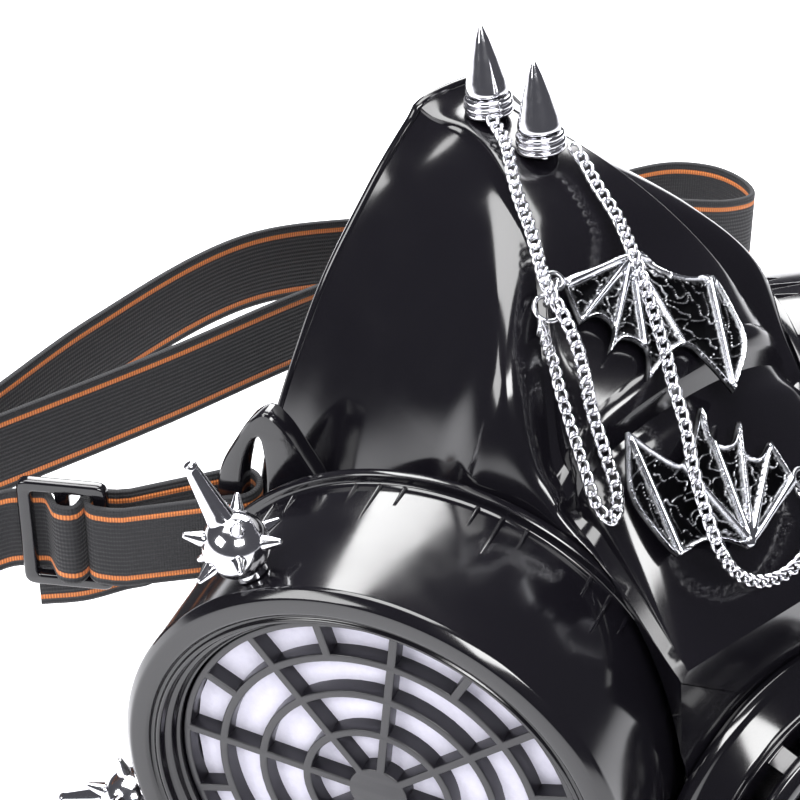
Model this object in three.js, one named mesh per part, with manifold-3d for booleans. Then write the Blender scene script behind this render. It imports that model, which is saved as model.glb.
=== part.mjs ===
// Gas mask style costume mask: a moulded half-face cup with two filter canisters, a front
// valve, two nose spikes, two bat wings, two curb chains, studded balls and an elastic strap.
// Millimetres, +Z up, the wearer faces -Y, and the canisters stand on Z = 0.
import * as THREE from 'three';
import { mergeVertices } from 'three/addons/utils/BufferGeometryUtils.js';
import Module from 'manifold-3d';

const wasm = await Module();
wasm.setup();

// Fits and general sizes
const GAP = 0.3;
const WALL = 2.6;
const ROUND_SIDES = 28;
const TURN = Math.PI * 2;
const DEG = Math.PI / 180;

// Moulded cup: the rim is the open end that lies on the face
const CUP_HEIGHT = 157;
const CUP_HALF_WIDTH = 52;
const CUP_RIM_Y = 64;
const CUP_FRONT_Y = -37;
const PANEL_RAISE = 1.7;
const PANEL_BEVEL = 1.6;
const HOOD_STEP = 3.4;
const HOOD_BEAD = 0.9;
const HOOD_ARCH = 3.7;

// Filter canister
const FLANGE_R = 53.6;
const FLANGE_T = 2.3;
const CANISTER_R = 51.4;
const CANISTER_LENGTH = 36.9;
const CANISTER_FRONT_X = 77.8;
const CANISTER_FRONT_Y = -1.6;
const CANISTER_TURN = 27.2 * DEG;
const MOUTH_R = 45.6;
const GRILLE_R = 41;
const GRILLE_T = 4;
const GRILLE_DEPTH = 5.5;
const WEB_RIB = 1.7;
const PAD_T = 2;

// Front valve
const VALVE_R = 36;
const VALVE_DEPTH = 17;
const VALVE_SLOTS = 12;
const DISC_R = 24;
const DISC_T = 2.2;

// Nose spikes
const SPIKE_R = 4.3;
const SPIKE_LENGTH = 14;
const SPIKE_LEAN = 10 * DEG;
const SHANK_R = 1.4;
const WASHER_R = 4.8;
const WASHER_WIRE = 0.65;
const WASHER_RINGS = 3;
const SCREW_REACH = 8;
const SPIKES = [
  { name: 'back', y: 54.6 },
  { name: 'front', y: 39.6 },
];

// Studded balls on the canisters
const BALL_R = 6.4;
const BALL_SPIKE = 18.5;
const STUD_R = 1.5;
const STUD_LENGTH = 3.6;
const BALL_NECK = 0.3;
const BALL_BACK = 6.8;
const BALLS = [
  { name: 'upper', turn: 29 * DEG },
  { name: 'lower', turn: 112 * DEG },
];

// Bat wings
const WING_LENGTH = 38;
const WING_T = 1.6;
const WING_RIB = 1.2;
const WING_LIFT = 3.6;
const WING_POST_R = 1.3;
const LOOP_R = 2.2;
const LOOP_HOLE = 1.25;
const LOOP_AT = -1.3;

// Chains and jump rings
const CHAIN_R = 1.3;
const CHAIN_SIDES = 7;
const CHAIN_STEP = 5.5;
const JUMP_R = 2.6;
const JUMP_WIRE = 0.45;

// Elastic strap
const STRAP_W = 20;
const STRAP_T = 1.3;
const SLIDER_LENGTH = 19;
const SLIDER_HEIGHT = 27;
const SLIDER_T = 2.6;
const SLIDER_BAR = 3;
const LUG_T = 5;
const LUG_BACK = 46;
const STRAP_Z = 76;
const BAND_HALF_WIDTH = 131;
const BAND_Y = 124;
const BAND_Z = 66;
const STRAP_SLOPE = -12 * DEG;

const black = new THREE.MeshStandardMaterial({ color: 0x141217, roughness: 0.18, metalness: 0 });
const satin = new THREE.MeshStandardMaterial({ color: 0x1b1a1f, roughness: 0.5, metalness: 0 });
const pale = new THREE.MeshStandardMaterial({ color: 0xa9a7b5, roughness: 0.9, metalness: 0 });
const steel = new THREE.MeshStandardMaterial({ color: 0xc9c9cc, roughness: 0.15, metalness: 1 });
const silver = new THREE.MeshStandardMaterial({ color: 0x9a9a9c, roughness: 0.35, metalness: 1 });
const elastic = new THREE.MeshStandardMaterial({ color: 0x15151a, roughness: 0.85, metalness: 0 });

const mask = new THREE.Group();

function signedVolume(position, index) {
  const a = new THREE.Vector3();
  const b = new THREE.Vector3();
  const c = new THREE.Vector3();
  let sum = 0;
  for (let i = 0; i < index.count; i += 3) {
    a.fromBufferAttribute(position, index.getX(i));
    b.fromBufferAttribute(position, index.getX(i + 1));
    c.fromBufferAttribute(position, index.getX(i + 2));
    sum += a.dot(b.cross(c));
  }
  return sum / 6;
}

// Merge equal corners, drop collapsed faces and turn every face outward
function closed(geometry) {
  const bare = geometry.clone();
  for (const name of Object.keys(bare.attributes)) {
    if (name !== 'position') bare.deleteAttribute(name);
  }
  const merged = mergeVertices(bare, 1e-4);
  const source = merged.index;
  const flip = signedVolume(merged.attributes.position, source) < 0;
  const index = [];
  for (let i = 0; i < source.count; i += 3) {
    const face = [source.getX(i), source.getX(i + 1), source.getX(i + 2)];
    if (new Set(face).size < 3) continue;
    if (flip) face.reverse();
    index.push(...face);
  }
  merged.setIndex(index);
  return merged;
}

function toSolid(geometry) {
  const g = closed(geometry);
  return new wasm.Manifold(new wasm.Mesh({
    numProp: 3,
    vertProperties: Float32Array.from(g.attributes.position.array),
    triVerts: Uint32Array.from(g.index.array),
  }));
}

function toGeometry(solid) {
  const mesh = solid.getMesh();
  const g = new THREE.BufferGeometry();
  g.setAttribute('position', new THREE.BufferAttribute(Float32Array.from(mesh.vertProperties), 3));
  g.setIndex(Array.from(mesh.triVerts));
  g.computeVertexNormals();
  return g;
}

function addPart(name, geometry, material, parent = mask) {
  const mesh = new THREE.Mesh(closed(geometry), material);
  mesh.geometry.computeVertexNormals();
  mesh.name = name;
  parent.add(mesh);
  return mesh;
}

// A turned body about Z from [radius, height] pairs
function turned(profile, sides = ROUND_SIDES) {
  const points = profile.map(([r, z]) => new THREE.Vector2(r, z));
  return new THREE.LatheGeometry(points, sides).rotateX(Math.PI / 2);
}

function placed(geometry, position, rotation = [0, 0, 0]) {
  const spin = new THREE.Matrix4().makeRotationFromEuler(new THREE.Euler(...rotation));
  return geometry.clone().applyMatrix4(spin).translate(...position);
}

function union(geometries) {
  return geometries.map(toSolid).reduce((whole, piece) => whole.add(piece));
}

// A closed skin over equal rings of points, with flat fans at both ends
function loft(rings) {
  const count = rings[0].length;
  const vertices = rings.flat().flatMap((p) => [p.x, p.y, p.z]);
  const index = [];
  for (let i = 0; i + 1 < rings.length; i += 1) {
    for (let j = 0; j < count; j += 1) {
      const a = i * count + j;
      const b = i * count + ((j + 1) % count);
      index.push(a, b, b + count, a, b + count, a + count);
    }
  }
  for (const [ring, start] of [[rings[0], 0], [rings.at(-1), (rings.length - 1) * count]]) {
    const centre = ring.reduce((sum, p) => sum.add(p), new THREE.Vector3()).divideScalar(count);
    const hub = vertices.length / 3;
    vertices.push(centre.x, centre.y, centre.z);
    for (let j = 0; j < count; j += 1) {
      const next = start + ((j + 1) % count);
      if (start === 0) index.push(hub, next, start + j);
      else index.push(hub, start + j, next);
    }
  }
  const g = new THREE.BufferGeometry();
  g.setAttribute('position', new THREE.Float32BufferAttribute(vertices, 3));
  g.setIndex(index);
  return closed(g);
}

// Cup sections, from the rim to the front. Heights are shares of CUP_HEIGHT, widths of
// CUP_HALF_WIDTH, and y is the share of the way from the rim to the front.
const CUP_SECTIONS = [
  { y: 0, top: 0.985, edgeX: 0.19, edgeZ: 0.973, templeX: 0.425, templeZ: 0.882, cheekX: 0.725,
    cheekZ: 0.73, sideX: 0.98, sideZ: 0.49, jawX: 0.87, jawZ: 0.24, chinX: 0.48, chinZ: 0.055,
    low: 0.003, raise: 0.0 },
  { y: 0.04, top: 0.972, edgeX: 0.17, edgeZ: 0.964, templeX: 0.425, templeZ: 0.876, cheekX: 0.725,
    cheekZ: 0.73, sideX: 0.98, sideZ: 0.488, jawX: 0.87, jawZ: 0.24, chinX: 0.48, chinZ: 0.055,
    low: 0.008, raise: 0.0 },
  { y: 0.11, top: 0.967, edgeX: 0.12, edgeZ: 0.962, templeX: 0.415, templeZ: 0.876, cheekX: 0.735,
    cheekZ: 0.725, sideX: 0.98, sideZ: 0.485, jawX: 0.87, jawZ: 0.24, chinX: 0.48, chinZ: 0.055,
    low: 0.012, raise: 0.4 },
  { y: 0.25, top: 0.956, edgeX: 0.18, edgeZ: 0.948, templeX: 0.435, templeZ: 0.873, cheekX: 0.745,
    cheekZ: 0.713, sideX: 0.97, sideZ: 0.47, jawX: 0.84, jawZ: 0.235, chinX: 0.47, chinZ: 0.058,
    low: 0.018, raise: 1.0 },
  { y: 0.42, top: 0.91, edgeX: 0.295, edgeZ: 0.898, templeX: 0.535, templeZ: 0.848, cheekX: 0.775,
    cheekZ: 0.692, sideX: 0.95, sideZ: 0.455, jawX: 0.78, jawZ: 0.23, chinX: 0.43, chinZ: 0.062,
    low: 0.024, raise: 1.0 },
  { y: 0.53, top: 0.854, edgeX: 0.44, edgeZ: 0.814, templeX: 0.66, templeZ: 0.787, cheekX: 0.82,
    cheekZ: 0.648, sideX: 0.88, sideZ: 0.43, jawX: 0.7, jawZ: 0.225, chinX: 0.4, chinZ: 0.066,
    low: 0.028, raise: 1.0 },
  { y: 0.625, top: 0.812, edgeX: 0.535, edgeZ: 0.708, templeX: 0.67, templeZ: 0.692, cheekX: 0.73,
    cheekZ: 0.582, sideX: 0.77, sideZ: 0.4, jawX: 0.62, jawZ: 0.22, chinX: 0.36, chinZ: 0.07,
    low: 0.031, raise: 1.0 },
  { y: 0.83, top: 0.668, edgeX: 0.56, edgeZ: 0.61, templeX: 0.6, templeZ: 0.58, cheekX: 0.58,
    cheekZ: 0.5, sideX: 0.58, sideZ: 0.37, jawX: 0.5, jawZ: 0.215, chinX: 0.3, chinZ: 0.085,
    low: 0.04, raise: 1.0 },
  { y: 1, top: 0.548, edgeX: 0.59, edgeZ: 0.546, templeX: 0.62, templeZ: 0.528, cheekX: 0.6,
    cheekZ: 0.46, sideX: 0.56, sideZ: 0.33, jawX: 0.46, jawZ: 0.19, chinX: 0.28, chinZ: 0.075,
    low: 0.03, raise: 1.0 },
];
const STEP_AT = 0.655;
const OUTER_DETAIL = { crown: 3, side: 9 };
const INNER_DETAIL = { crown: 2, side: 6 };

function sectionAt(share) {
  const last = CUP_SECTIONS.length - 1;
  let i = 0;
  while (i < last - 1 && CUP_SECTIONS[i + 1].y < share) i += 1;
  const rows = [i - 1, i, i + 1, i + 2].map((k) => CUP_SECTIONS[Math.min(Math.max(k, 0), last)]);
  const t = (share - rows[1].y) / (rows[2].y - rows[1].y);
  const out = {};
  for (const key of Object.keys(rows[1])) {
    const span = rows[2].y - rows[1].y;
    const before = Math.max(rows[2].y - rows[0].y, 1e-6);
    const after = Math.max(rows[3].y - rows[1].y, 1e-6);
    const m0 = ((rows[2][key] - rows[0][key]) / before) * span;
    const m1 = ((rows[3][key] - rows[1][key]) / after) * span;
    const t2 = t * t;
    const t3 = t2 * t;
    out[key] = (2 * t3 - 3 * t2 + 1) * rows[1][key] + (t3 - 2 * t2 + t) * m0
      + (3 * t2 - 2 * t3) * rows[2][key] + (t3 - t2) * m1;
  }
  return out;
}

// One closed ring of the cup at a share of its depth. The drop lowers the crown inside its
// edges, and inset moves the whole ring inward.
function cupRing(share, { drop = 0, inset = 0, raised = true, y = null } = {}) {
  const detail = raised ? OUTER_DETAIL : INNER_DETAIL;
  const s = sectionAt(share);
  const raise = raised ? PANEL_RAISE * s.raise : 0;
  const top = s.top * CUP_HEIGHT - drop - (raised ? 0 : PANEL_RAISE * s.raise);
  const edgeX = s.edgeX * CUP_HALF_WIDTH;
  const edgeZ = s.edgeZ * CUP_HEIGHT - drop - (raised ? 0 : PANEL_RAISE * s.raise);
  const station = y ?? CUP_RIM_Y + (CUP_FRONT_Y - CUP_RIM_Y) * share;
  const half = [];
  for (let i = 0; i <= detail.crown; i += 1) {
    const t = i / detail.crown;
    half.push([edgeX * Math.sin(t * Math.PI / 2), edgeZ + (top - edgeZ) * Math.cos(t * Math.PI / 2)]);
  }
  const footX = edgeX + PANEL_BEVEL * (raised ? s.raise : 1);
  const footZ = edgeZ - raise - 0.25 * PANEL_BEVEL + drop * 0.5;
  const side = new THREE.SplineCurve([
    new THREE.Vector2(footX, footZ),
    new THREE.Vector2(s.templeX * CUP_HALF_WIDTH, s.templeZ * CUP_HEIGHT),
    new THREE.Vector2(s.cheekX * CUP_HALF_WIDTH, s.cheekZ * CUP_HEIGHT),
    new THREE.Vector2(s.sideX * CUP_HALF_WIDTH, s.sideZ * CUP_HEIGHT),
    new THREE.Vector2(s.jawX * CUP_HALF_WIDTH, s.jawZ * CUP_HEIGHT),
    new THREE.Vector2(s.chinX * CUP_HALF_WIDTH, s.chinZ * CUP_HEIGHT),
    new THREE.Vector2(0, s.low * CUP_HEIGHT),
  ]);
  side.getPoints(detail.side).forEach((p) => half.push([p.x, p.y]));
  const mirrored = half.slice(1, -1).reverse().map(([x, z]) => [-x, z]);
  const outline = [...half, ...mirrored];
  const count = outline.length;
  return outline.map(([x, z], i) => {
    const [ax, az] = outline[(i + count - 1) % count];
    const [bx, bz] = outline[(i + 1) % count];
    const length = Math.hypot(bx - ax, bz - az);
    const nx = -(bz - az) / length;
    const nz = (bx - ax) / length;
    const arch = Math.max(0, 1 - (x / (0.55 * CUP_HALF_WIDTH)) ** 2);
    const near = Math.max(0, 1 - Math.abs(share - STEP_AT) / 0.16);
    const inCrown = z > 0.5 * CUP_HEIGHT ? 1 : 0;
    const lean = HOOD_ARCH * arch * near * inCrown;
    return new THREE.Vector3(x + nx * inset, station - lean, z + nz * inset);
  });
}

// Height of the cup's crown at a depth
function crownAt(y) {
  return sectionAt((CUP_RIM_Y - y) / (CUP_RIM_Y - CUP_FRONT_Y)).top * CUP_HEIGHT;
}

// Front frame of a canister: +X points out of its mouth
function canisterFrame(side) {
  const group = new THREE.Group();
  group.position.set(side * CANISTER_FRONT_X, CANISTER_FRONT_Y, FLANGE_R);
  group.rotation.z = side > 0 ? -CANISTER_TURN : Math.PI + CANISTER_TURN;
  group.updateMatrixWorld(true);
  return group;
}

function alongX(geometry) {
  return geometry.rotateY(Math.PI / 2);
}

function canisterClearance(side, margin) {
  const back = -CANISTER_LENGTH - GAP - margin;
  const r = FLANGE_R + 0.6 + margin;
  const body = alongX(turned([[0, back], [r, back], [r, 12], [0, 12]]));
  return toSolid(body.applyMatrix4(canisterFrame(side).matrixWorld));
}

// Moulded strap lug: a plate beside the rim, parallel to the canister's flange
function lugOutline() {
  const shape = new THREE.Shape();
  shape.moveTo(26, 7);
  shape.lineTo(26, 36);
  shape.lineTo(36.5, 50.5);
  shape.quadraticCurveTo(39.5, 54, 42.5, 50.5);
  shape.lineTo(49.5, 38);
  shape.quadraticCurveTo(51.2, 30, 50.4, 20);
  shape.quadraticCurveTo(48, 8, 38, 5);
  shape.closePath();
  const slot = new THREE.Path();
  slot.moveTo(40.2, 10.5);
  slot.lineTo(45.0, 11.5);
  slot.lineTo(45.2, 36);
  slot.quadraticCurveTo(43.6, 44, 41.0, 46.5);
  slot.quadraticCurveTo(40.0, 42, 40.2, 36);
  slot.closePath();
  shape.holes.push(slot);
  return shape;
}

function strapLug(side) {
  const plate = new THREE.ExtrudeGeometry(lugOutline(), {
    depth: LUG_T, bevelEnabled: false, curveSegments: 3,
  });
  // shape x runs to the rear, shape y up, and the depth along the canister's axis
  const turnToFrame = new THREE.Matrix4().makeBasis(
    new THREE.Vector3(0, side, 0), new THREE.Vector3(0, 0, 1), new THREE.Vector3(1, 0, 0),
  );
  plate.applyMatrix4(turnToFrame).translate(-LUG_BACK - LUG_T / 2, 0, 0);
  return toSolid(plate.applyMatrix4(canisterFrame(side).matrixWorld));
}

function faceCup() {
  const outer = [];
  const shares = [0, 0.04, 0.11, 0.25, 0.34, 0.42, 0.48, 0.53, 0.58, 0.625];
  shares.forEach((share) => outer.push(cupRing(share)));
  outer.push(cupRing(STEP_AT - 0.012, { drop: -HOOD_BEAD * 0.2 }));
  outer.push(cupRing(STEP_AT, { drop: -HOOD_BEAD }));
  outer.push(cupRing(STEP_AT + 0.012, { drop: -HOOD_BEAD }));
  outer.push(cupRing(STEP_AT + 0.016, { drop: HOOD_STEP }));
  outer.push(cupRing(STEP_AT + 0.05, { drop: HOOD_STEP * 0.4 }));
  [0.75, 0.83, 0.92, 1].forEach((share) => outer.push(cupRing(share)));
  const inner = [];
  inner.push(cupRing(0, { inset: -WALL, raised: false, y: CUP_RIM_Y + 8 }));
  [0, 0.06, 0.15, 0.3, 0.42, 0.52, 0.62, 0.73, 0.84].forEach((share) => {
    inner.push(cupRing(share, { inset: -WALL, raised: false, drop: HOOD_BEAD }));
  });
  inner.push(cupRing(1, { inset: -WALL, raised: false, drop: WALL, y: CUP_FRONT_Y + WALL }));
  let body = toSolid(loft(outer));
  let cavity = toSolid(loft(inner));
  for (const side of [-1, 1]) {
    body = body.subtract(canisterClearance(side, 0));
    cavity = cavity.subtract(canisterClearance(side, WALL));
  }
  for (const side of [-1, 1]) body = body.add(strapLug(side));
  body = body.subtract(cavity);
  // each spike has a screw hole and a flat seat for its rings
  for (const spike of SPIKES) {
    const hole = turned([[0, -20], [SHANK_R + GAP, -20], [SHANK_R + GAP, -GAP],
      [WASHER_R + 2 * GAP, -GAP], [WASHER_R + 2 * GAP, 20], [0, 20]], 12);
    body = body.subtract(toSolid(placed(hole, [0, spike.y, crownAt(spike.y) + GAP], [-SPIKE_LEAN, 0, 0])));
  }
  return body;
}
addPart('face_cup', toGeometry(faceCup()), black);

// Filter canisters
function canisterHousing() {
  const back = -CANISTER_LENGTH;
  const seat = -GRILLE_DEPTH - GRILLE_T - PAD_T - 3 * GAP;
  return alongX(turned([
    [0, back],
    [FLANGE_R, back],
    [FLANGE_R, back + FLANGE_T],
    [CANISTER_R, back + FLANGE_T + 0.6],
    [CANISTER_R, -2],
    [CANISTER_R - 2.2, 0],
    [MOUTH_R, 0],
    [MOUTH_R - 1, -2.6],
    [GRILLE_R + GAP, -2.6],
    [GRILLE_R + GAP, seat],
    [GRILLE_R - 2, seat],
    [CANISTER_R - WALL, seat - 4],
    [CANISTER_R - WALL, back + WALL],
    [0, back + WALL],
  ]));
}

// Web rings as shares of the grille's radius, from the hub out, with the windows in each band
const WEB_BANDS = [
  { inner: 0.12, outer: 0.36, windows: 8 },
  { inner: 0.36, outer: 0.585, windows: 8 },
  { inner: 0.585, outer: 0.79, windows: 8 },
  { inner: 0.79, outer: 0.975, windows: 16 },
];

// One window between two rings and two spokes, each rib half a rib wide on its own side
function webWindow({ inner, outer, windows }, index) {
  const low = inner * GRILLE_R + WEB_RIB / 2;
  const high = outer * GRILLE_R - WEB_RIB / 2;
  const from = (index * TURN) / windows;
  const to = ((index + 1) * TURN) / windows;
  const at = (r, angle) => new THREE.Vector2(r * Math.cos(angle), r * Math.sin(angle));
  const lowPinch = Math.asin(WEB_RIB / 2 / low);
  const highPinch = Math.asin(WEB_RIB / 2 / high);
  return new THREE.Path([
    at(low, from + lowPinch),
    at(high, from + highPinch),
    at(high, to - highPinch),
    at(low, to - lowPinch),
  ]);
}

function webGrille() {
  const shape = new THREE.Shape();
  shape.absarc(0, 0, GRILLE_R, 0, TURN, false);
  for (const band of WEB_BANDS) {
    for (let i = 0; i < band.windows; i += 1) shape.holes.push(webWindow(band, i));
  }
  const web = new THREE.ExtrudeGeometry(shape, {
    depth: GRILLE_T, bevelEnabled: false, curveSegments: ROUND_SIDES,
  });
  return alongX(web.translate(0, 0, -GRILLE_DEPTH - GRILLE_T));
}

function filterPad() {
  const front = -GRILLE_DEPTH - GRILLE_T - GAP;
  return alongX(turned([[0, front - PAD_T], [GRILLE_R, front - PAD_T], [GRILLE_R, front], [0, front]]));
}

// A ball with one long round-tipped spike along +Z and rings of short studs
const STUD_RINGS = [
  { count: 6, height: -8, offset: 0 },
  { count: 3, height: 40, offset: 30 },
];

function studdedBall() {
  const pieces = [new THREE.SphereGeometry(BALL_R, 10, 6).rotateX(Math.PI / 2)];
  const tipR = 1.35;
  pieces.push(turned([
    [0, BALL_R * 0.5],
    [2.7, BALL_R * 0.5],
    [2.7, BALL_R + 0.6],
    [tipR, BALL_SPIKE - 1.2],
    [0, BALL_SPIKE],
  ], 8));
  for (const ring of STUD_RINGS) {
    for (let i = 0; i < ring.count; i += 1) {
      const turn = (i * TURN) / ring.count + ring.offset * DEG;
      const stud = turned([[0, BALL_R * 0.7], [STUD_R, BALL_R * 0.7], [0, BALL_R + STUD_LENGTH]], 4);
      stud.rotateX((90 - ring.height) * DEG).rotateZ(turn);
      pieces.push(stud);
    }
  }
  // a short neck screws into the canister wall
  pieces.push(turned([[0, -BALL_R - BALL_NECK], [3, -BALL_R - BALL_NECK], [3, -BALL_R * 0.5],
    [0, -BALL_R * 0.5]], 6));
  return toGeometry(union(pieces));
}

const SIDES = [
  { name: 'left', side: -1 },
  { name: 'right', side: 1 },
];
const ballGeometry = studdedBall();
for (const { name, side } of SIDES) {
  const frame = canisterFrame(side);
  mask.add(frame);
  addPart(`canister_${name}`, canisterHousing(), black, frame);
  addPart(`filter_grille_${name}`, webGrille(), satin, frame);
  addPart(`filter_pad_${name}`, filterPad(), pale, frame);
  for (const ball of BALLS) {
    const mesh = addPart(`studded_ball_${ball.name}_${name}`, ballGeometry, steel, frame);
    const r = CANISTER_R + GAP + BALL_R + BALL_NECK;
    mesh.position.set(-BALL_BACK, side * r * Math.sin(ball.turn), r * Math.cos(ball.turn));
    mesh.rotation.x = -side * ball.turn;
  }
}

// Front valve: a turned cover with slots in its side and an ornament let into its face
function valveCover() {
  const slotFrom = 9;
  const slotTo = 13.6;
  const inside = VALVE_R - 5.6 - WALL;
  const cover = turned([
    [0, VALVE_DEPTH - 1.8 - WALL],
    [inside, VALVE_DEPTH - 1.8 - WALL],
    [inside, 7],
    [VALVE_R - WALL, 2],
    [VALVE_R - WALL, 0],
    [VALVE_R, 0],
    [VALVE_R, 2.2],
    [VALVE_R - 5, 8],
    [VALVE_R - 5.6, VALVE_DEPTH - 1.4],
    [VALVE_R - 7, VALVE_DEPTH],
    [DISC_R + GAP, VALVE_DEPTH],
    [DISC_R + GAP, VALVE_DEPTH - 1.8],
    [0, VALVE_DEPTH - 1.8],
  ]);
  let body = toSolid(cover);
  const slots = [];
  for (let i = 0; i < VALVE_SLOTS; i += 1) {
    const slot = new THREE.BoxGeometry(8, (TURN * VALVE_R * 0.62) / VALVE_SLOTS, slotTo - slotFrom);
    slot.translate(inside + 3, 0, (slotFrom + slotTo) / 2);
    slots.push(slot.rotateZ(((i + 0.5) * TURN) / VALVE_SLOTS));
  }
  body = body.subtract(union(slots));
  return toGeometry(body).rotateX(Math.PI / 2);
}

function valveOrnament() {
  const petals = 6;
  const pieces = [turned([
    [0, 0],
    [DISC_R, 0],
    [DISC_R, DISC_T],
    [DISC_R - 2.4, DISC_T],
    [DISC_R - 2.8, DISC_T - 0.9],
    [4.6, DISC_T - 0.9],
    [0, DISC_T + 0.6],
  ], 20)];
  for (let i = 0; i < petals; i += 1) {
    const petal = new THREE.SphereGeometry(1, 6, 3).scale(6.6, 2.9, 0.9);
    petal.translate(13, 0, DISC_T - 0.8).rotateZ((i * TURN) / petals);
    pieces.push(petal);
  }
  return toGeometry(union(pieces)).rotateX(Math.PI / 2);
}
const VALVE_Z = VALVE_R + 0.4;
addPart('valve_cover', valveCover(), black).position.set(0, CUP_FRONT_Y - GAP, VALVE_Z);
addPart('valve_ornament', valveOrnament(), silver)
  .position.set(0, CUP_FRONT_Y - 2 * GAP - VALVE_DEPTH + 1.8, VALVE_Z);

// Nose spikes on their rings, each held by a screw from inside the cup
function coneSpike() {
  const hole = 5;
  return turned([
    [0, hole],
    [SHANK_R + GAP, hole],
    [SHANK_R + GAP, 0],
    [SPIKE_R - 0.3, 0],
    [SPIKE_R, 0.5],
    [SPIKE_R * 0.93, 2.4],
    [SPIKE_R * 0.62, SPIKE_LENGTH * 0.5],
    [0.75, SPIKE_LENGTH - 1.1],
    [0.45, SPIKE_LENGTH - 0.25],
    [0, SPIKE_LENGTH],
  ], 16);
}

const WASHER_STACK = WASHER_RINGS * 2 * WASHER_WIRE;

function washerStack() {
  const profile = [];
  for (let i = 0; i < WASHER_RINGS; i += 1) {
    const middle = WASHER_WIRE * (2 * i + 1);
    profile.push([WASHER_R - WASHER_WIRE, middle - WASHER_WIRE]);
    profile.push([WASHER_R, middle]);
  }
  profile.push([WASHER_R - WASHER_WIRE, WASHER_STACK]);
  profile.push([SHANK_R + GAP, WASHER_STACK]);
  profile.push([SHANK_R + GAP, 0]);
  profile.push(profile[0]);
  return turned(profile, 12);
}

function spikeScrew() {
  return turned([
    [0, -SCREW_REACH - 1.6],
    [SHANK_R + 1.4, -SCREW_REACH - 1.6],
    [SHANK_R + 1.4, -SCREW_REACH],
    [SHANK_R, -SCREW_REACH],
    [SHANK_R, WASHER_STACK + 4],
    [0, WASHER_STACK + 4],
  ], 12);
}

for (const spike of SPIKES) {
  const group = new THREE.Group();
  group.position.set(0, spike.y, crownAt(spike.y) + GAP);
  group.rotation.x = -SPIKE_LEAN;
  mask.add(group);
  addPart(`spike_washers_${spike.name}`, washerStack(), steel, group);
  addPart(`spike_screw_${spike.name}`, spikeScrew(), steel, group);
  addPart(`nose_spike_${spike.name}`, coneSpike(), steel, group).position.z = WASHER_STACK + GAP;
}

// Bat wing outline: shares of the wing's length, from the root loop along to the far tip
const WING_OUTLINE = [
  { along: 0.00, across: 0.035 },
  { along: 0.12, across: 0.210 },
  { along: 0.19, across: 0.325 },
  { along: 0.26, across: 0.425 },
  { along: 0.36, across: 0.410 },
  { along: 0.46, across: 0.420 },
  { along: 0.55, across: 0.455 },
  { along: 0.665, across: 0.545 },
  { along: 0.70, across: 0.530 },
  { along: 0.82, across: 0.440 },
  { along: 0.95, across: 0.305 },
  { along: 1.00, across: 0.000 },
  { along: 0.84, across: 0.065 },
  { along: 0.69, across: 0.095 },
  { along: 0.64, across: 0.030 },
  { along: 0.59, across: -0.220 },
  { along: 0.51, across: -0.060 },
  { along: 0.395, across: -0.075 },
  { along: 0.36, across: -0.200 },
  { along: 0.32, across: -0.050 },
  { along: 0.23, across: -0.040 },
  { along: 0.17, across: -0.140 },
  { along: 0.085, across: -0.055 },
];
// Raised bones of the wing, from one place to another, in the same shares
const WING_BONES = [
  { a: [0.03, 0.03], b: [0.25, 0.39] },
  { a: [0.25, 0.39], b: [0.66, 0.51] },
  { a: [0.66, 0.51], b: [0.97, 0.05] },
  { a: [0.25, 0.39], b: [0.66, 0.08] },
  { a: [0.25, 0.39], b: [0.575, -0.15] },
  { a: [0.25, 0.39], b: [0.36, -0.14] },
  { a: [0.25, 0.39], b: [0.18, -0.09] },
];
const WING_POSTS = [
  { along: 0.30, across: 0.24 },
  { along: 0.62, across: 0.34 },
];
// Each wing lies over the cup at its y, turned about its root loop, with a jump ring beyond
const WINGS = [
  { name: 'upper', y: 9, sink: 1.9, slope: 32.5 * DEG, rootX: -18.3, rootUp: 9.3, turn: -60.5 * DEG,
    ring: 280 * DEG, rings: 2 },
  { name: 'lower', y: -16, sink: 1.5, slope: 47.5 * DEG, rootX: 7.6, rootUp: -7.4, turn: 144 * DEG,
    ring: 126 * DEG, rings: 1 },
];

function batWing(postDepths) {
  const points = WING_OUTLINE.map((p) => new THREE.Vector2(p.along, p.across).multiplyScalar(WING_LENGTH));
  const plate = new THREE.ExtrudeGeometry(new THREE.Shape(points), {
    depth: WING_T, bevelEnabled: false,
  });
  const pieces = [plate];
  for (const { a, b } of WING_BONES) {
    const from = new THREE.Vector2(...a).multiplyScalar(WING_LENGTH);
    const to = new THREE.Vector2(...b).multiplyScalar(WING_LENGTH);
    const bone = new THREE.BoxGeometry(from.distanceTo(to), WING_RIB, WING_RIB);
    bone.rotateX(Math.PI / 4).rotateZ(to.clone().sub(from).angle());
    pieces.push(bone.translate((from.x + to.x) / 2, (from.y + to.y) / 2, WING_T));
  }
  pieces.push(turned([[LOOP_HOLE, 0], [LOOP_R, 0], [LOOP_R, WING_T], [LOOP_HOLE, WING_T],
    [LOOP_HOLE, 0]], 12).translate(LOOP_AT, 0, 0));
  WING_POSTS.forEach((post, i) => {
    const pin = turned([[0, -postDepths[i]], [WING_POST_R, -postDepths[i]], [WING_POST_R, WING_T / 2],
      [0, WING_T / 2]], 10);
    pieces.push(pin.translate(post.along * WING_LENGTH, post.across * WING_LENGTH, 0));
  });
  return toGeometry(union(pieces));
}

// The posts end a small gap above the cup's skin, found along each post
const cupMesh = mask.getObjectByName('face_cup');
function postDepth(frame, post) {
  const start = new THREE.Vector3(post.along * WING_LENGTH, post.across * WING_LENGTH, 0);
  frame.localToWorld(start);
  const down = new THREE.Vector3(0, 0, -1).transformDirection(frame.matrixWorld);
  const hit = new THREE.Raycaster(start, down).intersectObject(cupMesh)[0];
  return hit.distance - GAP - 0.3;
}

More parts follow.
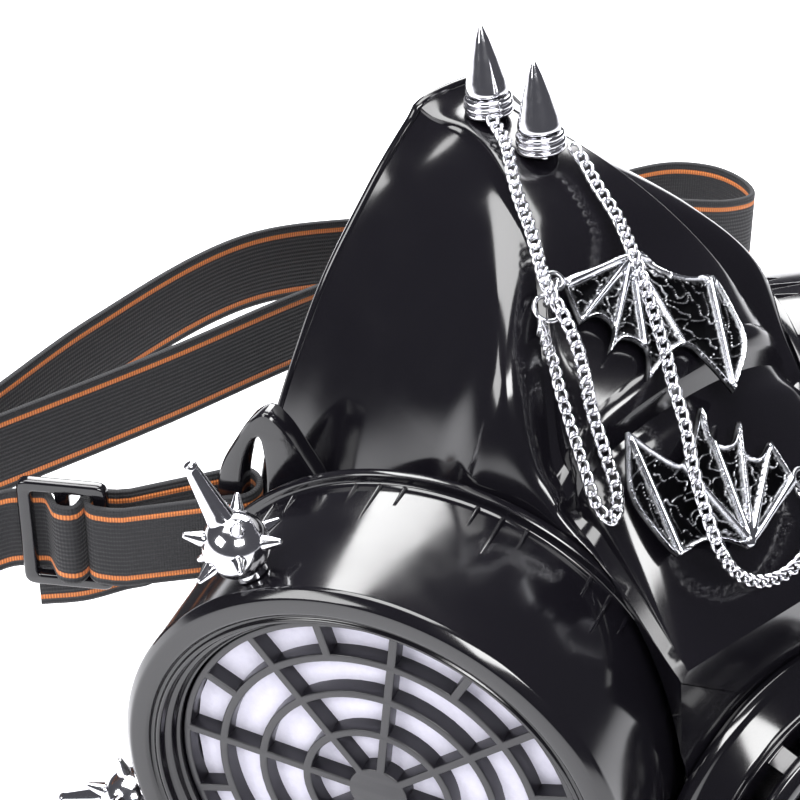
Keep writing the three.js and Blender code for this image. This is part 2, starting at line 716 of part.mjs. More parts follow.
// Jump rings hang from the root loop of each wing, and a chain ends beyond the last
const ringEnds = {};
for (const wing of WINGS) {
  const plane = new THREE.Group();
  plane.position.set(0, wing.y, crownAt(wing.y) - wing.sink);
  plane.rotation.x = wing.slope;
  mask.add(plane);
  const frame = new THREE.Group();
  frame.position.set(wing.rootX, wing.rootUp, WING_LIFT);
  frame.rotation.z = wing.turn;
  plane.add(frame);
  frame.updateWorldMatrix(true, false);
  addPart(`wing_${wing.name}`, batWing(WING_POSTS.map((p) => postDepth(frame, p))), silver, frame);
  const away = new THREE.Vector3(Math.cos(wing.ring), Math.sin(wing.ring), 0);
  const loop = new THREE.Vector3(LOOP_AT, 0, WING_T / 2);
  let far = 0;
  for (let i = 0; i < wing.rings; i += 1) {
    const torus = new THREE.TorusGeometry(JUMP_R, JUMP_WIRE, 5, 12);
    if (i === 0) torus.rotateX(Math.PI / 2);
    const ring = addPart(`jump_ring_${wing.name}_${i + 1}`, torus, steel, frame);
    far += i === 0 ? JUMP_R : 2 * JUMP_R - 3 * JUMP_WIRE;
    ring.position.copy(loop).addScaledVector(away, far);
    ring.rotation.z = wing.ring;
  }
  far += JUMP_R + JUMP_WIRE + GAP + CHAIN_R;
  ringEnds[wing.name] = frame.localToWorld(loop.clone().addScaledVector(away, far));
}

// Chains: a row for each bend, from the spike down to the ring of a wing, with the height of
// the chain's middle over the cup's skin
const CHAIN_BENDS = {
  left: [
    { x: -4.4, y: 48.7, over: 3.5 },
    { x: -5.8, y: 45.0, over: 3.6 },
    { x: -7.3, y: 41.7, over: 3.5 },
    { x: -10.3, y: 37.0, over: 3.9 },
    { x: -13.0, y: 32.2, over: 4.9 },
    { x: -16.8, y: 24.4, over: 6.6 },
    { x: -20.8, y: 17.4, over: 9.9 },
    { x: -24.0, y: 11.8, over: 15.3 },
    { x: -24.9, y: 6.3, over: 18.2 },
    { x: -24.9, y: 3.4, over: 16.3 },
    { x: -25.2, y: 0.3, over: 13.5 },
    { x: -24.8, y: -1.2, over: 7.2 },
    { x: -25.9, y: -7.0, over: 8.1 },
    { x: -26.8, y: -11.4, over: 5.1 },
    { x: -28.6, y: -12.0, over: 4.7 },
    { x: -29.4, y: -8.6, over: 6.3 },
    { x: -28.8, y: -5.0, over: 9.4 },
    { x: -27.9, y: 0.0, over: 8.4 },
    { x: -26.8, y: 4.8, over: 8.2 },
    { x: -25.8, y: 8.0, over: 8.0 },
    { x: -26.6, y: 8.9, over: 9.8 },
  ],
  right: [
    { x: 3.1, y: 33.5, over: 3.9 },
    { x: 2.8, y: 30.6, over: 3.4 },
    { x: 1.7, y: 26.3, over: 3.3 },
    { x: 0.1, y: 18.7, over: 4.5 },
    { x: -3.6, y: 10.8, over: 8.4 },
    { x: -5.8, y: 5.5, over: 8.8 },
    { x: -9.6, y: -4.4, over: 7.8 },
    { x: -12.2, y: -9.8, over: 12.0 },
    { x: -14.0, y: -15.2, over: 12.4 },
    { x: -16.8, y: -20.6, over: 13.8 },
    { x: -18.8, y: -26.2, over: 14.6 },
    { x: -19.4, y: -30.4, over: 13.5 },
    { x: -17.0, y: -32.6, over: 10.0 },
    { x: -12.4, y: -34.4, over: 7.9 },
    { x: -5.4, y: -35.0, over: 7.1 },
    { x: 1.6, y: -33.8, over: 6.7 },
  ],
};

function overSkin({ x, y, over }) {
  const from = new THREE.Vector3(x, y, 2 * CUP_HEIGHT);
  const hit = new THREE.Raycaster(from, new THREE.Vector3(0, 0, -1)).intersectObject(cupMesh)[0];
  return new THREE.Vector3(x, y, hit.point.z + over);
}
const CHAIN_ROUTES = {
  left: [...CHAIN_BENDS.left.map(overSkin), ringEnds.upper],
  right: [...CHAIN_BENDS.right.map(overSkin), ringEnds.lower],
};

function tubeAlong(route, radius, sides, step) {
  const path = new THREE.CatmullRomCurve3(route, false, 'centripetal');
  const round = new THREE.Shape();
  for (let i = 0; i < sides; i += 1) {
    const x = radius * Math.cos((i * TURN) / sides);
    const y = radius * Math.sin((i * TURN) / sides);
    if (i === 0) round.moveTo(x, y);
    else round.lineTo(x, y);
  }
  round.closePath();
  return new THREE.ExtrudeGeometry(round, {
    steps: Math.round(path.getLength() / step), extrudePath: path, bevelEnabled: false,
  });
}
for (const [name, route] of Object.entries(CHAIN_ROUTES)) {
  addPart(`chain_${name}`, tubeAlong(route, CHAIN_R, CHAIN_SIDES, CHAIN_STEP), steel);
}

// Elastic strap, drawn in plan and standing on edge
function ribbon(route, width, thickness, stepsPerPoint = 4) {
  const path = new THREE.CatmullRomCurve3(route.map((p) => new THREE.Vector3(...p)), false, 'centripetal');
  const steps = (route.length - 1) * stepsPerPoint;
  const up = new THREE.Vector3(0, 0, 1);
  const rings = [];
  for (let i = 0; i <= steps; i += 1) {
    const at = path.getPoint(i / steps);
    const along = path.getTangent(i / steps);
    const out = new THREE.Vector3(along.y, -along.x, 0).normalize().multiplyScalar(thickness / 2);
    const rise = up.clone().multiplyScalar(width / 2);
    rings.push([
      at.clone().add(out).add(rise),
      at.clone().sub(out).add(rise),
      at.clone().sub(out).sub(rise),
      at.clone().add(out).sub(rise),
    ]);
  }
  return loft(rings);
}

// Where the lug's outer bar stands, and the slider beyond it
function strapPlan(side) {
  const frame = canisterFrame(side);
  const bar = frame.localToWorld(new THREE.Vector3(-LUG_BACK, side * 47.8, 0));
  const heading = new THREE.Vector2(side * 27, 31).normalize();
  return { bar: new THREE.Vector2(bar.x, bar.y), heading };
}
const SLIDER_AWAY = 36;
const SLIDER_DROP = -SLIDER_AWAY * Math.tan(STRAP_SLOPE);

function sliderFrame(side) {
  const { bar, heading } = strapPlan(side);
  const group = new THREE.Group();
  group.position.set(bar.x + heading.x * SLIDER_AWAY, bar.y + heading.y * SLIDER_AWAY, STRAP_Z - SLIDER_DROP);
  group.rotation.z = Math.atan2(heading.y, heading.x);
  return group;
}

function sliderBody() {
  const shape = new THREE.Shape();
  const w = SLIDER_LENGTH / 2;
  const h = SLIDER_HEIGHT / 2;
  const r = 2.5;
  shape.moveTo(-w + r, -h);
  shape.lineTo(w - r, -h);
  shape.quadraticCurveTo(w, -h, w, -h + r);
  shape.lineTo(w, h - r);
  shape.quadraticCurveTo(w, h, w - r, h);
  shape.lineTo(-w + r, h);
  shape.quadraticCurveTo(-w, h, -w, h - r);
  shape.lineTo(-w, -h + r);
  shape.quadraticCurveTo(-w, -h, -w + r, -h);
  const plate = new THREE.ExtrudeGeometry(shape, { depth: SLIDER_T, bevelEnabled: false, curveSegments: 4 });
  let body = toSolid(plate.translate(0, 0, -SLIDER_T / 2));
  const slotWidth = (SLIDER_LENGTH - 3 * SLIDER_BAR) / 2;
  for (const end of [-1, 1]) {
    const slot = new THREE.BoxGeometry(slotWidth, STRAP_W + 1.6, 2 * SLIDER_T);
    body = body.subtract(toSolid(slot.translate((end * (slotWidth + SLIDER_BAR)) / 2, 0, 0)));
  }
  return toGeometry(body).rotateX(Math.PI / 2);
}

// A belt round two bars: both are centres of arcs with their own radius
function beltShape(from, r1, to, r2) {
  const angle = Math.atan2(to.y - from.y, to.x - from.x);
  const spread = Math.acos((r1 - r2) / from.distanceTo(to));
  const shape = new THREE.Shape();
  shape.absarc(from.x, from.y, r1, angle + spread, angle - spread, false);
  shape.absarc(to.x, to.y, r2, angle - spread, angle + spread, false);
  shape.closePath();
  return shape;
}

function strapBelt() {
  const near = new THREE.Vector2(0, 0);
  const far = new THREE.Vector2(SLIDER_AWAY - SLIDER_LENGTH / 2 + SLIDER_BAR / 2, 0);
  const flatEnd = far.x - 4;
  const shape = beltShape(near, 4.3 + STRAP_T, far, 2.3 + STRAP_T);
  const inner = beltShape(near, 4.3, far, 2.3);
  shape.holes.push(new THREE.Path(inner.getPoints(5)));
  const belt = new THREE.ExtrudeGeometry(shape, { depth: STRAP_W, bevelEnabled: false, curveSegments: 5 });
  belt.translate(0, 0, -STRAP_W / 2);
  // the belt sinks towards the slider, and both ends stay on edge
  const p = belt.attributes.position;
  for (let i = 0; i < p.count; i += 1) {
    p.setZ(i, p.getZ(i) - Math.min(Math.max(p.getX(i) / flatEnd, 0), 1) * SLIDER_DROP);
  }
  return belt;
}

// The head strap's route over the slider: along the heading and out of the slider's face
const SLIDER_WEAVE = [
  { along: -2.8, out: -3.3, drop: 0 },
  { along: -2.8, out: 0, drop: 0 },
  { along: -1.7, out: 2.4, drop: 0 },
  { along: 1.7, out: 2.4, drop: 0 },
  { along: 3.4, out: 0, drop: 0 },
  { along: 5.2, out: -2.5, drop: 0.3 },
  { along: 9.0, out: -2.8, drop: 0.8 },
  { along: 14.0, out: -2.8, drop: 1.6 },
];
// The strap's free tail, folded over in front of the slider
const TAIL_ROUTE = [
  { along: 9.5, out: -6.0, drop: 14 },
  { along: 0.0, out: -6.2, drop: 12 },
  { along: -9.0, out: -6.2, drop: 8 },
  { along: -14.5, out: -5.2, drop: 5 },
  { along: -16.3, out: -7.4, drop: 4.5 },
  { along: -14.0, out: -9.4, drop: 6 },
  { along: -6.0, out: -9.2, drop: 10 },
  { along: -1.0, out: -9.0, drop: 13 },
];

function sliderPoint(side, { along, out, drop }) {
  const frame = sliderFrame(side);
  frame.updateMatrixWorld(true);
  const p = frame.localToWorld(new THREE.Vector3(along, -side * out, -drop));
  return [p.x, p.y, p.z];
}

for (const { name, side } of SIDES) {
  const { bar, heading } = strapPlan(side);
  const belt = addPart(`lug_strap_${name}`, strapBelt(), elastic);
  belt.position.set(bar.x, bar.y, STRAP_Z);
  belt.rotation.z = Math.atan2(heading.y, heading.x);
  const frame = sliderFrame(side);
  mask.add(frame);
  addPart(`strap_slider_${name}`, sliderBody(), satin, frame);
}

// Bends of the two bands from a slider to the middle. The right side hangs lower and nearer.
const HEAD_BENDS = {
  left: [
    { across: 0.794, back: -20, rise: 0 },
    { across: 0.931, back: -13, rise: -1 },
    { across: 1.000, back: -5, rise: -0.5 },
    { across: 0.969, back: 3, rise: 0 },
    { across: 0.855, back: 4, rise: 0.5 },
    { across: 0.573, back: 0, rise: 1 },
    { across: 0.267, back: -3, rise: 1 },
  ],
  right: [
    { across: 0.771, back: -25.5, rise: -3 },
    { across: 0.901, back: -30, rise: -8 },
    { across: 0.973, back: -29, rise: -10 },
    { across: 1.000, back: -22, rise: -10.5 },
    { across: 0.988, back: -14, rise: -10 },
    { across: 0.931, back: -6, rise: -9.5 },
    { across: 0.802, back: -1, rise: -9 },
    { across: 0.573, back: 1, rise: -7 },
    { across: 0.267, back: -2, rise: -3 },
  ],
};
// A second band lies behind the first and is sewn to it at both sides
const CROWN_BENDS = {
  left: [
    { across: 0.763, back: 4.4, rise: 1 },
    { across: 0.611, back: 4.9, rise: 3 },
    { across: 0.344, back: 10, rise: 7 },
  ],
  right: [
    { across: 0.763, back: 2.6, rise: -8 },
    { across: 0.611, back: 5, rise: -6 },
    { across: 0.344, back: 9, rise: -1 },
  ],
};
const HEAD_MIDDLE = { across: 0, back: -4, rise: 1 };
const CROWN_MIDDLE = { across: 0, back: 13, rise: 9 };

function bandPoint({ across, back, rise }, side) {
  return [side * across * BAND_HALF_WIDTH, BAND_Y + back, BAND_Z + rise];
}

// A route from the left slider or seam, over the middle, to the right one
function bandRoute(bends, middle, ends) {
  const left = [...ends(-1), ...bends.left.map((bend) => bandPoint(bend, -1))];
  const right = [...ends(1), ...bends.right.map((bend) => bandPoint(bend, 1))];
  return [...left, bandPoint(middle, 1), ...right.reverse()];
}
const headRoute = bandRoute(HEAD_BENDS, HEAD_MIDDLE, (side) => (
  SLIDER_WEAVE.map((bend) => sliderPoint(side, bend))));
addPart('head_strap', ribbon(headRoute, STRAP_W, STRAP_T, 2), elastic);
const crownRoute = bandRoute(CROWN_BENDS, CROWN_MIDDLE, () => []);
addPart('crown_strap', ribbon(crownRoute, STRAP_W, STRAP_T, 4), elastic);
for (const { name, side } of SIDES) {
  addPart(`strap_tail_${name}`, ribbon(TAIL_ROUTE.map((p) => sliderPoint(side, p)), STRAP_W, STRAP_T, 3), elastic);
}

// The origin is the middle of the floor under the mask
const bounds = new THREE.Box3().setFromObject(mask);
const middle = bounds.getCenter(new THREE.Vector3());
mask.position.set(-middle.x, -middle.y, -bounds.min.z);
mask.updateMatrixWorld(true);

export default mask;
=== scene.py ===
"""Looks of a gas mask style costume mask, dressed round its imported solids.

Lengths in the classes are millimetres in the row's frame, and meshes are made in metres.
"""

from __future__ import annotations

import logging
import math
from dataclasses import dataclass
from enum import Enum
from typing import Any, Sequence

import bmesh
import bpy
import numpy as np
from mathutils import Matrix, Vector


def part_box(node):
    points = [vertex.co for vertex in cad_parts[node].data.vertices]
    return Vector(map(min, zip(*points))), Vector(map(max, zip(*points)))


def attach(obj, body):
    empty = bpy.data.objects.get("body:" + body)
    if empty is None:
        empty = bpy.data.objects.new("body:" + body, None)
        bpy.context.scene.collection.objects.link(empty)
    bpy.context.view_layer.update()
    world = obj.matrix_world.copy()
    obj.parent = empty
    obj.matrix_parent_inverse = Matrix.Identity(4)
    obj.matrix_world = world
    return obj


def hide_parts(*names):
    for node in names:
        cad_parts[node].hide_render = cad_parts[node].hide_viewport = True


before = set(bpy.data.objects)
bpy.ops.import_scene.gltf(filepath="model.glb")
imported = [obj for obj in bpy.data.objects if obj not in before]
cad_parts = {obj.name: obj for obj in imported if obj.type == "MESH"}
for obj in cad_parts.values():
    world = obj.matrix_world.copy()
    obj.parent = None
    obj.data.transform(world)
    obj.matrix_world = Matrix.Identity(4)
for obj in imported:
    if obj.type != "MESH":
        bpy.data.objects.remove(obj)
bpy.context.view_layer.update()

LOG = logging.getLogger("costume_mask")
MM = 0.001
TURN = 2.0 * math.pi
# Clearance between pieces that touch on the real mask
GAP = 0.3
# The solids' own y runs from the cup's rim, 64 mm behind their zero
RIM_Y = 64.0
SHIFT_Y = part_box("face_cup")[1].y / MM - RIM_Y

Point = Sequence[float]
Rings = list[np.ndarray]


# Mesh making


def add_object(
    name: str,
    vertices: np.ndarray,
    faces: Sequence[Sequence[int]],
    place: Matrix | None = None,
) -> bpy.types.Object:
    """Makes a mesh object from corners in millimetres.

    Args:
        name: The piece's name.
        vertices: Corners, one row each.
        faces: Corner numbers of each face.
        place: Where the piece goes, in millimetres, or None if it is there already.

    Returns:
        The new object, linked to the scene.
    """
    mesh = bpy.data.meshes.new(name)
    mesh.from_pydata(np.asarray(vertices, float).tolist(), [], [list(f) for f in faces])
    if place is not None:
        mesh.transform(place)
    mesh.transform(Matrix.Scale(MM, 4))
    work = bmesh.new()
    work.from_mesh(mesh)
    bmesh.ops.recalc_face_normals(work, faces=work.faces)
    work.to_mesh(mesh)
    work.free()
    piece = bpy.data.objects.new(name, mesh)
    bpy.context.scene.collection.objects.link(piece)
    return piece


def clean(piece: bpy.types.Object, sharp_deg: float = 32.0) -> None:
    """Welds a piece's equal corners, turns its faces outward and sets its sharp edges.

    Args:
        piece: The piece.
        sharp_deg: Edges with a greater turn than this stay sharp.
    """
    work = bmesh.new()
    work.from_mesh(piece.data)
    bmesh.ops.remove_doubles(work, verts=work.verts, dist=0.002 * MM)
    bmesh.ops.dissolve_degenerate(work, edges=work.edges, dist=0.002 * MM)
    bmesh.ops.recalc_face_normals(work, faces=work.faces)
    work.to_mesh(piece.data)
    work.free()
    piece.data.shade_smooth()
    piece.data.set_sharp_from_angle(angle=math.radians(sharp_deg))


def settle(piece: bpy.types.Object) -> None:
    """Applies all modifiers of a piece to its mesh."""
    graph = bpy.context.evaluated_depsgraph_get()
    done = bpy.data.meshes.new_from_object(piece.evaluated_get(graph), depsgraph=graph)
    old = piece.data
    piece.modifiers.clear()
    piece.data = done
    bpy.data.meshes.remove(old)


class Cut(Enum):
    """What a tool body does to a piece."""

    TAKE_AWAY = "DIFFERENCE"
    FUSE = "UNION"
    KEEP_COMMON = "INTERSECT"


def carve(piece: bpy.types.Object, tool: bpy.types.Object, cut: Cut) -> None:
    """Cuts or fuses a piece with a tool body, and removes the tool.

    Args:
        piece: The piece that changes.
        tool: The tool body.
        cut: What the tool does.
    """
    step = piece.modifiers.new("carve", "BOOLEAN")
    step.operation = cut.value
    step.solver = "MANIFOLD"
    step.object = tool
    settle(piece)
    bpy.data.objects.remove(tool)


def joined(name: str, pieces: Sequence[bpy.types.Object]) -> bpy.types.Object:
    """Joins pieces into one object.

    Args:
        name: The joined piece's name.
        pieces: The pieces, which are used up.

    Returns:
        The joined piece.
    """
    with bpy.context.temp_override(
        active_object=pieces[0], selected_editable_objects=list(pieces)
    ):
        bpy.ops.object.join()
    pieces[0].name = name
    pieces[0].data.name = name
    return pieces[0]


def skin(rings: Rings, around: bool = True, along: bool = False, caps: bool = True) -> tuple:
    """Corners and faces of a skin over equal rings.

    Args:
        rings: The rings, each an array of points.
        around: Whether each ring closes on itself.
        along: Whether the last ring joins the first.
        caps: Whether open ends are closed with a fan.

    Returns:
        Corners and faces.
    """
    count = len(rings[0])
    vertices = np.concatenate(rings)
    faces: list[tuple[int, ...]] = []
    last = len(rings) if along else len(rings) - 1
    for i in range(last):
        low = i * count
        high = ((i + 1) % len(rings)) * count
        for j in range(count if around else count - 1):
            k = (j + 1) % count
            faces.append((low + j, low + k, high + k, high + j))
    if caps and not along:
        hubs = np.array([rings[0].mean(0), rings[-1].mean(0)])
        first = len(vertices)
        vertices = np.concatenate([vertices, hubs])
        top = (len(rings) - 1) * count
        for j in range(count):
            k = (j + 1) % count
            faces.append((first, k, j))
            faces.append((first + 1, top + j, top + k))
    return vertices, faces


def rounded(points: Sequence[Point], radius: float, steps: int = 3) -> list[tuple[float, float]]:
    """Rounds the inner corners of an open outline.

    Args:
        points: The outline's corners.
        radius: How far from a corner the rounding starts.
        steps: Points in each rounding.

    Returns:
        The new outline.
    """
    done = [tuple(points[0])]
    for before, corner, after in zip(points, points[1:], points[2:]):
        b, c, a = (np.array(p, float) for p in (before, corner, after))
        to_b, to_a = b - c, a - c
        reach_b = min(radius, 0.45 * np.linalg.norm(to_b))
        reach_a = min(radius, 0.45 * np.linalg.norm(to_a))
        start = c + to_b / np.linalg.norm(to_b) * reach_b
        end = c + to_a / np.linalg.norm(to_a) * reach_a
        for i in range(steps + 1):
            t = i / steps
            p = (1 - t) ** 2 * start + 2 * t * (1 - t) * c + t * t * end
            done.append((float(p[0]), float(p[1])))
    done.append(tuple(points[-1]))
    return done


def turned(
    name: str, profile: Sequence[Point], sides: int, place: Matrix, sharp_deg: float = 40.0
) -> bpy.types.Object:
    """A body turned about its own Z.

    Args:
        name: The piece's name.
        profile: Radius and height of each corner, from one end of the axis to the other.
        sides: Faces round the axis.
        place: Where the body goes.
        sharp_deg: Edges with a greater turn than this stay sharp.

    Returns:
        The piece.
    """
    angles = np.linspace(0.0, TURN, sides, endpoint=False)
    rings = [
        np.stack([r * np.cos(angles), r * np.sin(angles), np.full(sides, h)], 1)
        for r, h in profile
    ]
    closed = profile[0] == profile[-1]
    vertices, faces = skin(rings[:-1] if closed else rings, along=closed)
    piece = add_object(name, vertices, faces, place)
    clean(piece, sharp_deg)
    return piece


def smooth_path(points: Sequence[Point], step: float, closed: bool = False) -> np.ndarray:
    """Even points on a smooth curve through some places.

    Args:
        points: The places.
        step: Distance between the new points.
        closed: Whether the curve closes on itself.

    Returns:
        The new points, one row each.
    """
    p = np.array(points, float)
    if closed:
        p = np.concatenate([p[-1:], p, p[:2]])
    else:
        p = np.concatenate([2 * p[:1] - p[1:2], p, 2 * p[-1:] - p[-2:-1]])
    dense = []
    for a, b, c, d in zip(p, p[1:], p[2:], p[3:]):
        t1 = max(np.linalg.norm(b - a) ** 0.5, 1e-6)
        t2 = t1 + max(np.linalg.norm(c - b) ** 0.5, 1e-6)
        t3 = t2 + max(np.linalg.norm(d - c) ** 0.5, 1e-6)
        for t in np.linspace(t1, t2, 16, endpoint=False):
            ab = a + (b - a) * t / t1
            bc = b + (c - b) * (t - t1) / (t2 - t1)
            cd = c + (d - c) * (t - t2) / (t3 - t2)
            abc = ab + (bc - ab) * t / t2
            bcd = bc + (cd - bc) * (t - t1) / (t3 - t1)
            dense.append(abc + (bcd - abc) * (t - t1) / (t2 - t1))
    if not closed:
        dense.append(p[-2])
    else:
        dense.append(dense[0])
    line = np.array(dense)
    lengths = np.concatenate([[0.0], np.cumsum(np.linalg.norm(np.diff(line, axis=0), axis=1))])
    count = max(int(round(lengths[-1] / step)), 2)
    at = np.linspace(0.0, lengths[-1], count + 1)
    even = np.stack([np.interp(at, lengths, line[:, i]) for i in range(3)], 1)
    return even[:-1] if closed else even


def tube(
    name: str, path: np.ndarray, radius: float, sides: int, closed: bool = False
) -> bpy.types.Object:
    """A round tube along a path.

    Args:
        name: The piece's name.
        path: Points of its middle line, in millimetres.
        radius: The tube's radius.
        sides: Faces round it.
        closed: Whether the path closes on itself.

    Returns:
        The piece.
    """
    piece = add_object(name, *skin(tube_rings(path, radius, sides, closed), along=closed))
    clean(piece)
    return piece


def tube_rings(path: np.ndarray, radius: float, sides: int, closed: bool) -> Rings:
    """Rings of a round tube along a path, with as little twist as can be."""
    if closed:
        tangents = np.roll(path, -1, 0) - np.roll(path, 1, 0)
    else:
        tangents = np.gradient(path, axis=0)
    tangents /= np.linalg.norm(tangents, axis=1, keepdims=True)
    side = np.cross(tangents[0], [0.3, 0.5, 0.8])
    side /= np.linalg.norm(side)
    angles = np.linspace(0.0, TURN, sides, endpoint=False)
    rings = []
    for at, along in zip(path, tangents):
        side = side - along * (side @ along)
        side /= np.linalg.norm(side)
        other = np.cross(along, side)
        rings.append(
            at + radius * (np.outer(np.cos(angles), side) + np.outer(np.sin(angles), other))
        )
    return rings


def flat_plate(
    name: str,
    outlines: Sequence[Sequence[Point]],
    thickness: float,
    edge: float,
    place: Matrix,
) -> bpy.types.Object:
    """A plate with rounded edges from flat outlines, the first the edge and the rest holes.

    Args:
        name: The piece's name.
        outlines: Points of each outline, in the plate's own X and Y.
        thickness: The plate's thickness, from Z = 0 up.
        edge: Radius of the rounded edges.
        place: Where the plate goes.

    Returns:
        The piece.
    """
    curve = bpy.data.curves.new(name, "CURVE")
    curve.dimensions = "2D"
    curve.fill_mode = "BOTH"
    curve.extrude = thickness / 2 - edge
    curve.bevel_depth = edge
    curve.bevel_resolution = 2
    curve.offset = -edge
    for outline in outlines:
        spline = curve.splines.new("POLY")
        spline.points.add(len(outline) - 1)
        for point, (x, y) in zip(spline.points, outline):
            point.co = (x, y, 0.0, 1.0)
        spline.use_cyclic_u = True
    holder = bpy.data.objects.new(name, curve)
    bpy.context.scene.collection.objects.link(holder)
    graph = bpy.context.evaluated_depsgraph_get()
    mesh = bpy.data.meshes.new_from_object(holder.evaluated_get(graph), depsgraph=graph)
    bpy.data.objects.remove(holder)
    bpy.data.curves.remove(curve)
    mesh.transform(
        Matrix.Scale(MM, 4) @ place @ Matrix.Translation((0, 0, thickness / 2))
    )
    piece = bpy.data.objects.new(name, mesh)
    bpy.context.scene.collection.objects.link(piece)
    clean(piece)
    return piece


def basis(x: Point, y: Point, z: Point, at: Point) -> Matrix:
    """A placing matrix from three axes and a place, in millimetres."""
    rows = [[x[i], y[i], z[i], at[i]] for i in range(3)]
    return Matrix([*rows, [0.0, 0.0, 0.0, 1.0]])


# Finishes


def linear(code: str) -> tuple[float, float, float, float]:
    """Turns an sRGB hex value to linear red, green, blue and alpha.

    Args:
        code: Six hex digits after a hash sign.

    Returns:
        The linear colour.
    """
    parts = [int(code[i : i + 2], 16) / 255 for i in (1, 3, 5)]
    done = [p / 12.92 if p <= 0.04045 else ((p + 0.055) / 1.055) ** 2.4 for p in parts]
    return (*done, 1.0)


def add_node(
    tree: bpy.types.NodeTree,
    kind: str,
    settings: dict[str, Any] | None = None,
    inputs: dict[str | int, Any] | None = None,
) -> bpy.types.Node:
    """Adds a node with its settings, its values and its links.

    Args:
        tree: The material's node tree.
        kind: The node's type.
        settings: Values of the node's own settings.
        inputs: A value or another node's socket for each input.

    Returns:
        The new node.
    """
    node = tree.nodes.new(kind)
    for key, value in (settings or {}).items():
        setattr(node, key, value)
    for key, value in (inputs or {}).items():
        if isinstance(value, bpy.types.NodeSocket):
            tree.links.new(value, node.inputs[key])
        else:
            node.inputs[key].default_value = value
    return node


def per_metre(size_mm: float) -> float:
    """Noise scale whose features are about this many millimetres across."""
    return 1.0 / (size_mm * MM)


def new_material(name: str) -> tuple[bpy.types.Material, bpy.types.NodeTree, Any, Any]:
    """Makes an empty material.

    Args:
        name: The material's name.

    Returns:
        The material, its tree, its shader and the socket of places on the piece.
    """
    material = bpy.data.materials.new(name)
    material.use_nodes = True
    tree = material.node_tree
    tree.nodes.clear()
    shader = add_node(tree, "ShaderNodeBsdfPrincipled")
    add_node(tree, "ShaderNodeOutputMaterial", inputs={"Surface": shader.outputs[0]})
    places = add_node(tree, "ShaderNodeTexCoord").outputs["Object"]
    return material, tree, shader, places


@dataclass(frozen=True)
class MouldedPlastic:
    """Injection moulded ABS: a dark body under a smooth skin that mirrors soft lights.

    The polished mould gives low roughness, slight flow waves and a few rubbed places.
    """

    name: str
    colour: str
    roughness: float
    rubbed: float = 0.06
    wave_mm: float = 26.0
    wave_depth_mm: float = 0.05
    grain_mm: float = 0.0
    grain_depth_mm: float = 0.0

    def material(self) -> bpy.types.Material:
        """Builds the finish."""
        material, tree, shader, places = new_material(self.name)
        shader.inputs["Base Color"].default_value = linear(self.colour)
        shader.inputs["IOR"].default_value = 1.53
        smear = add_node(
            tree,
            "ShaderNodeTexNoise",
            inputs={"Vector": places, "Scale": per_metre(9.0), "Detail": 5.0},
        )
        rough = add_node(
            tree,
            "ShaderNodeMapRange",
            inputs={
                "Value": smear.outputs["Fac"],
                1: 0.35,
                2: 0.75,
                3: self.roughness,
                4: self.roughness + self.rubbed,
            },
        )
        tree.links.new(rough.outputs[0], shader.inputs["Roughness"])
        wave = add_node(
            tree,
            "ShaderNodeTexNoise",
            inputs={"Vector": places, "Scale": per_metre(self.wave_mm), "Detail": 1.0},
        )
        bump = add_node(
            tree,
            "ShaderNodeBump",
            inputs={
                "Height": wave.outputs["Fac"],
                "Distance": self.wave_depth_mm * MM,
                "Strength": 1.0,
            },
        )
        if self.grain_mm:
            grain = add_node(
                tree,
                "ShaderNodeTexNoise",
                inputs={"Vector": places, "Scale": per_metre(self.grain_mm), "Detail": 3.0},
            )
            bump = add_node(
                tree,
                "ShaderNodeBump",
                inputs={
                    "Height": grain.outputs["Fac"],
                    "Distance": self.grain_depth_mm * MM,
                    "Normal": bump.outputs[0],
                },
            )
        tree.links.new(bump.outputs[0], shader.inputs["Normal"])
        return material


@dataclass(frozen=True)
class PolishedMetal:
    """Nickel plated and polished trim: near-mirror, with faint buffing marks."""

    name: str
    colour: str
    roughness: float

    def material(self) -> bpy.types.Material:
        """Builds the finish."""
        material, tree, shader, places = new_material(self.name)
        shader.inputs["Base Color"].default_value = linear(self.colour)
        shader.inputs["Metallic"].default_value = 1.0
        marks = add_node(
            tree,
            "ShaderNodeTexNoise",
            inputs={"Vector": places, "Scale": per_metre(1.2), "Detail": 4.0},
        )
        rough = add_node(
            tree,
            "ShaderNodeMapRange",
            inputs={
                "Value": marks.outputs["Fac"],
                3: self.roughness,
                4: self.roughness + 0.12,
            },
        )
        tree.links.new(rough.outputs[0], shader.inputs["Roughness"])
        bump = add_node(
            tree,
            "ShaderNodeBump",
            inputs={"Height": marks.outputs["Fac"], "Distance": 0.01 * MM},
        )
        tree.links.new(bump.outputs[0], shader.inputs["Normal"])
        return material


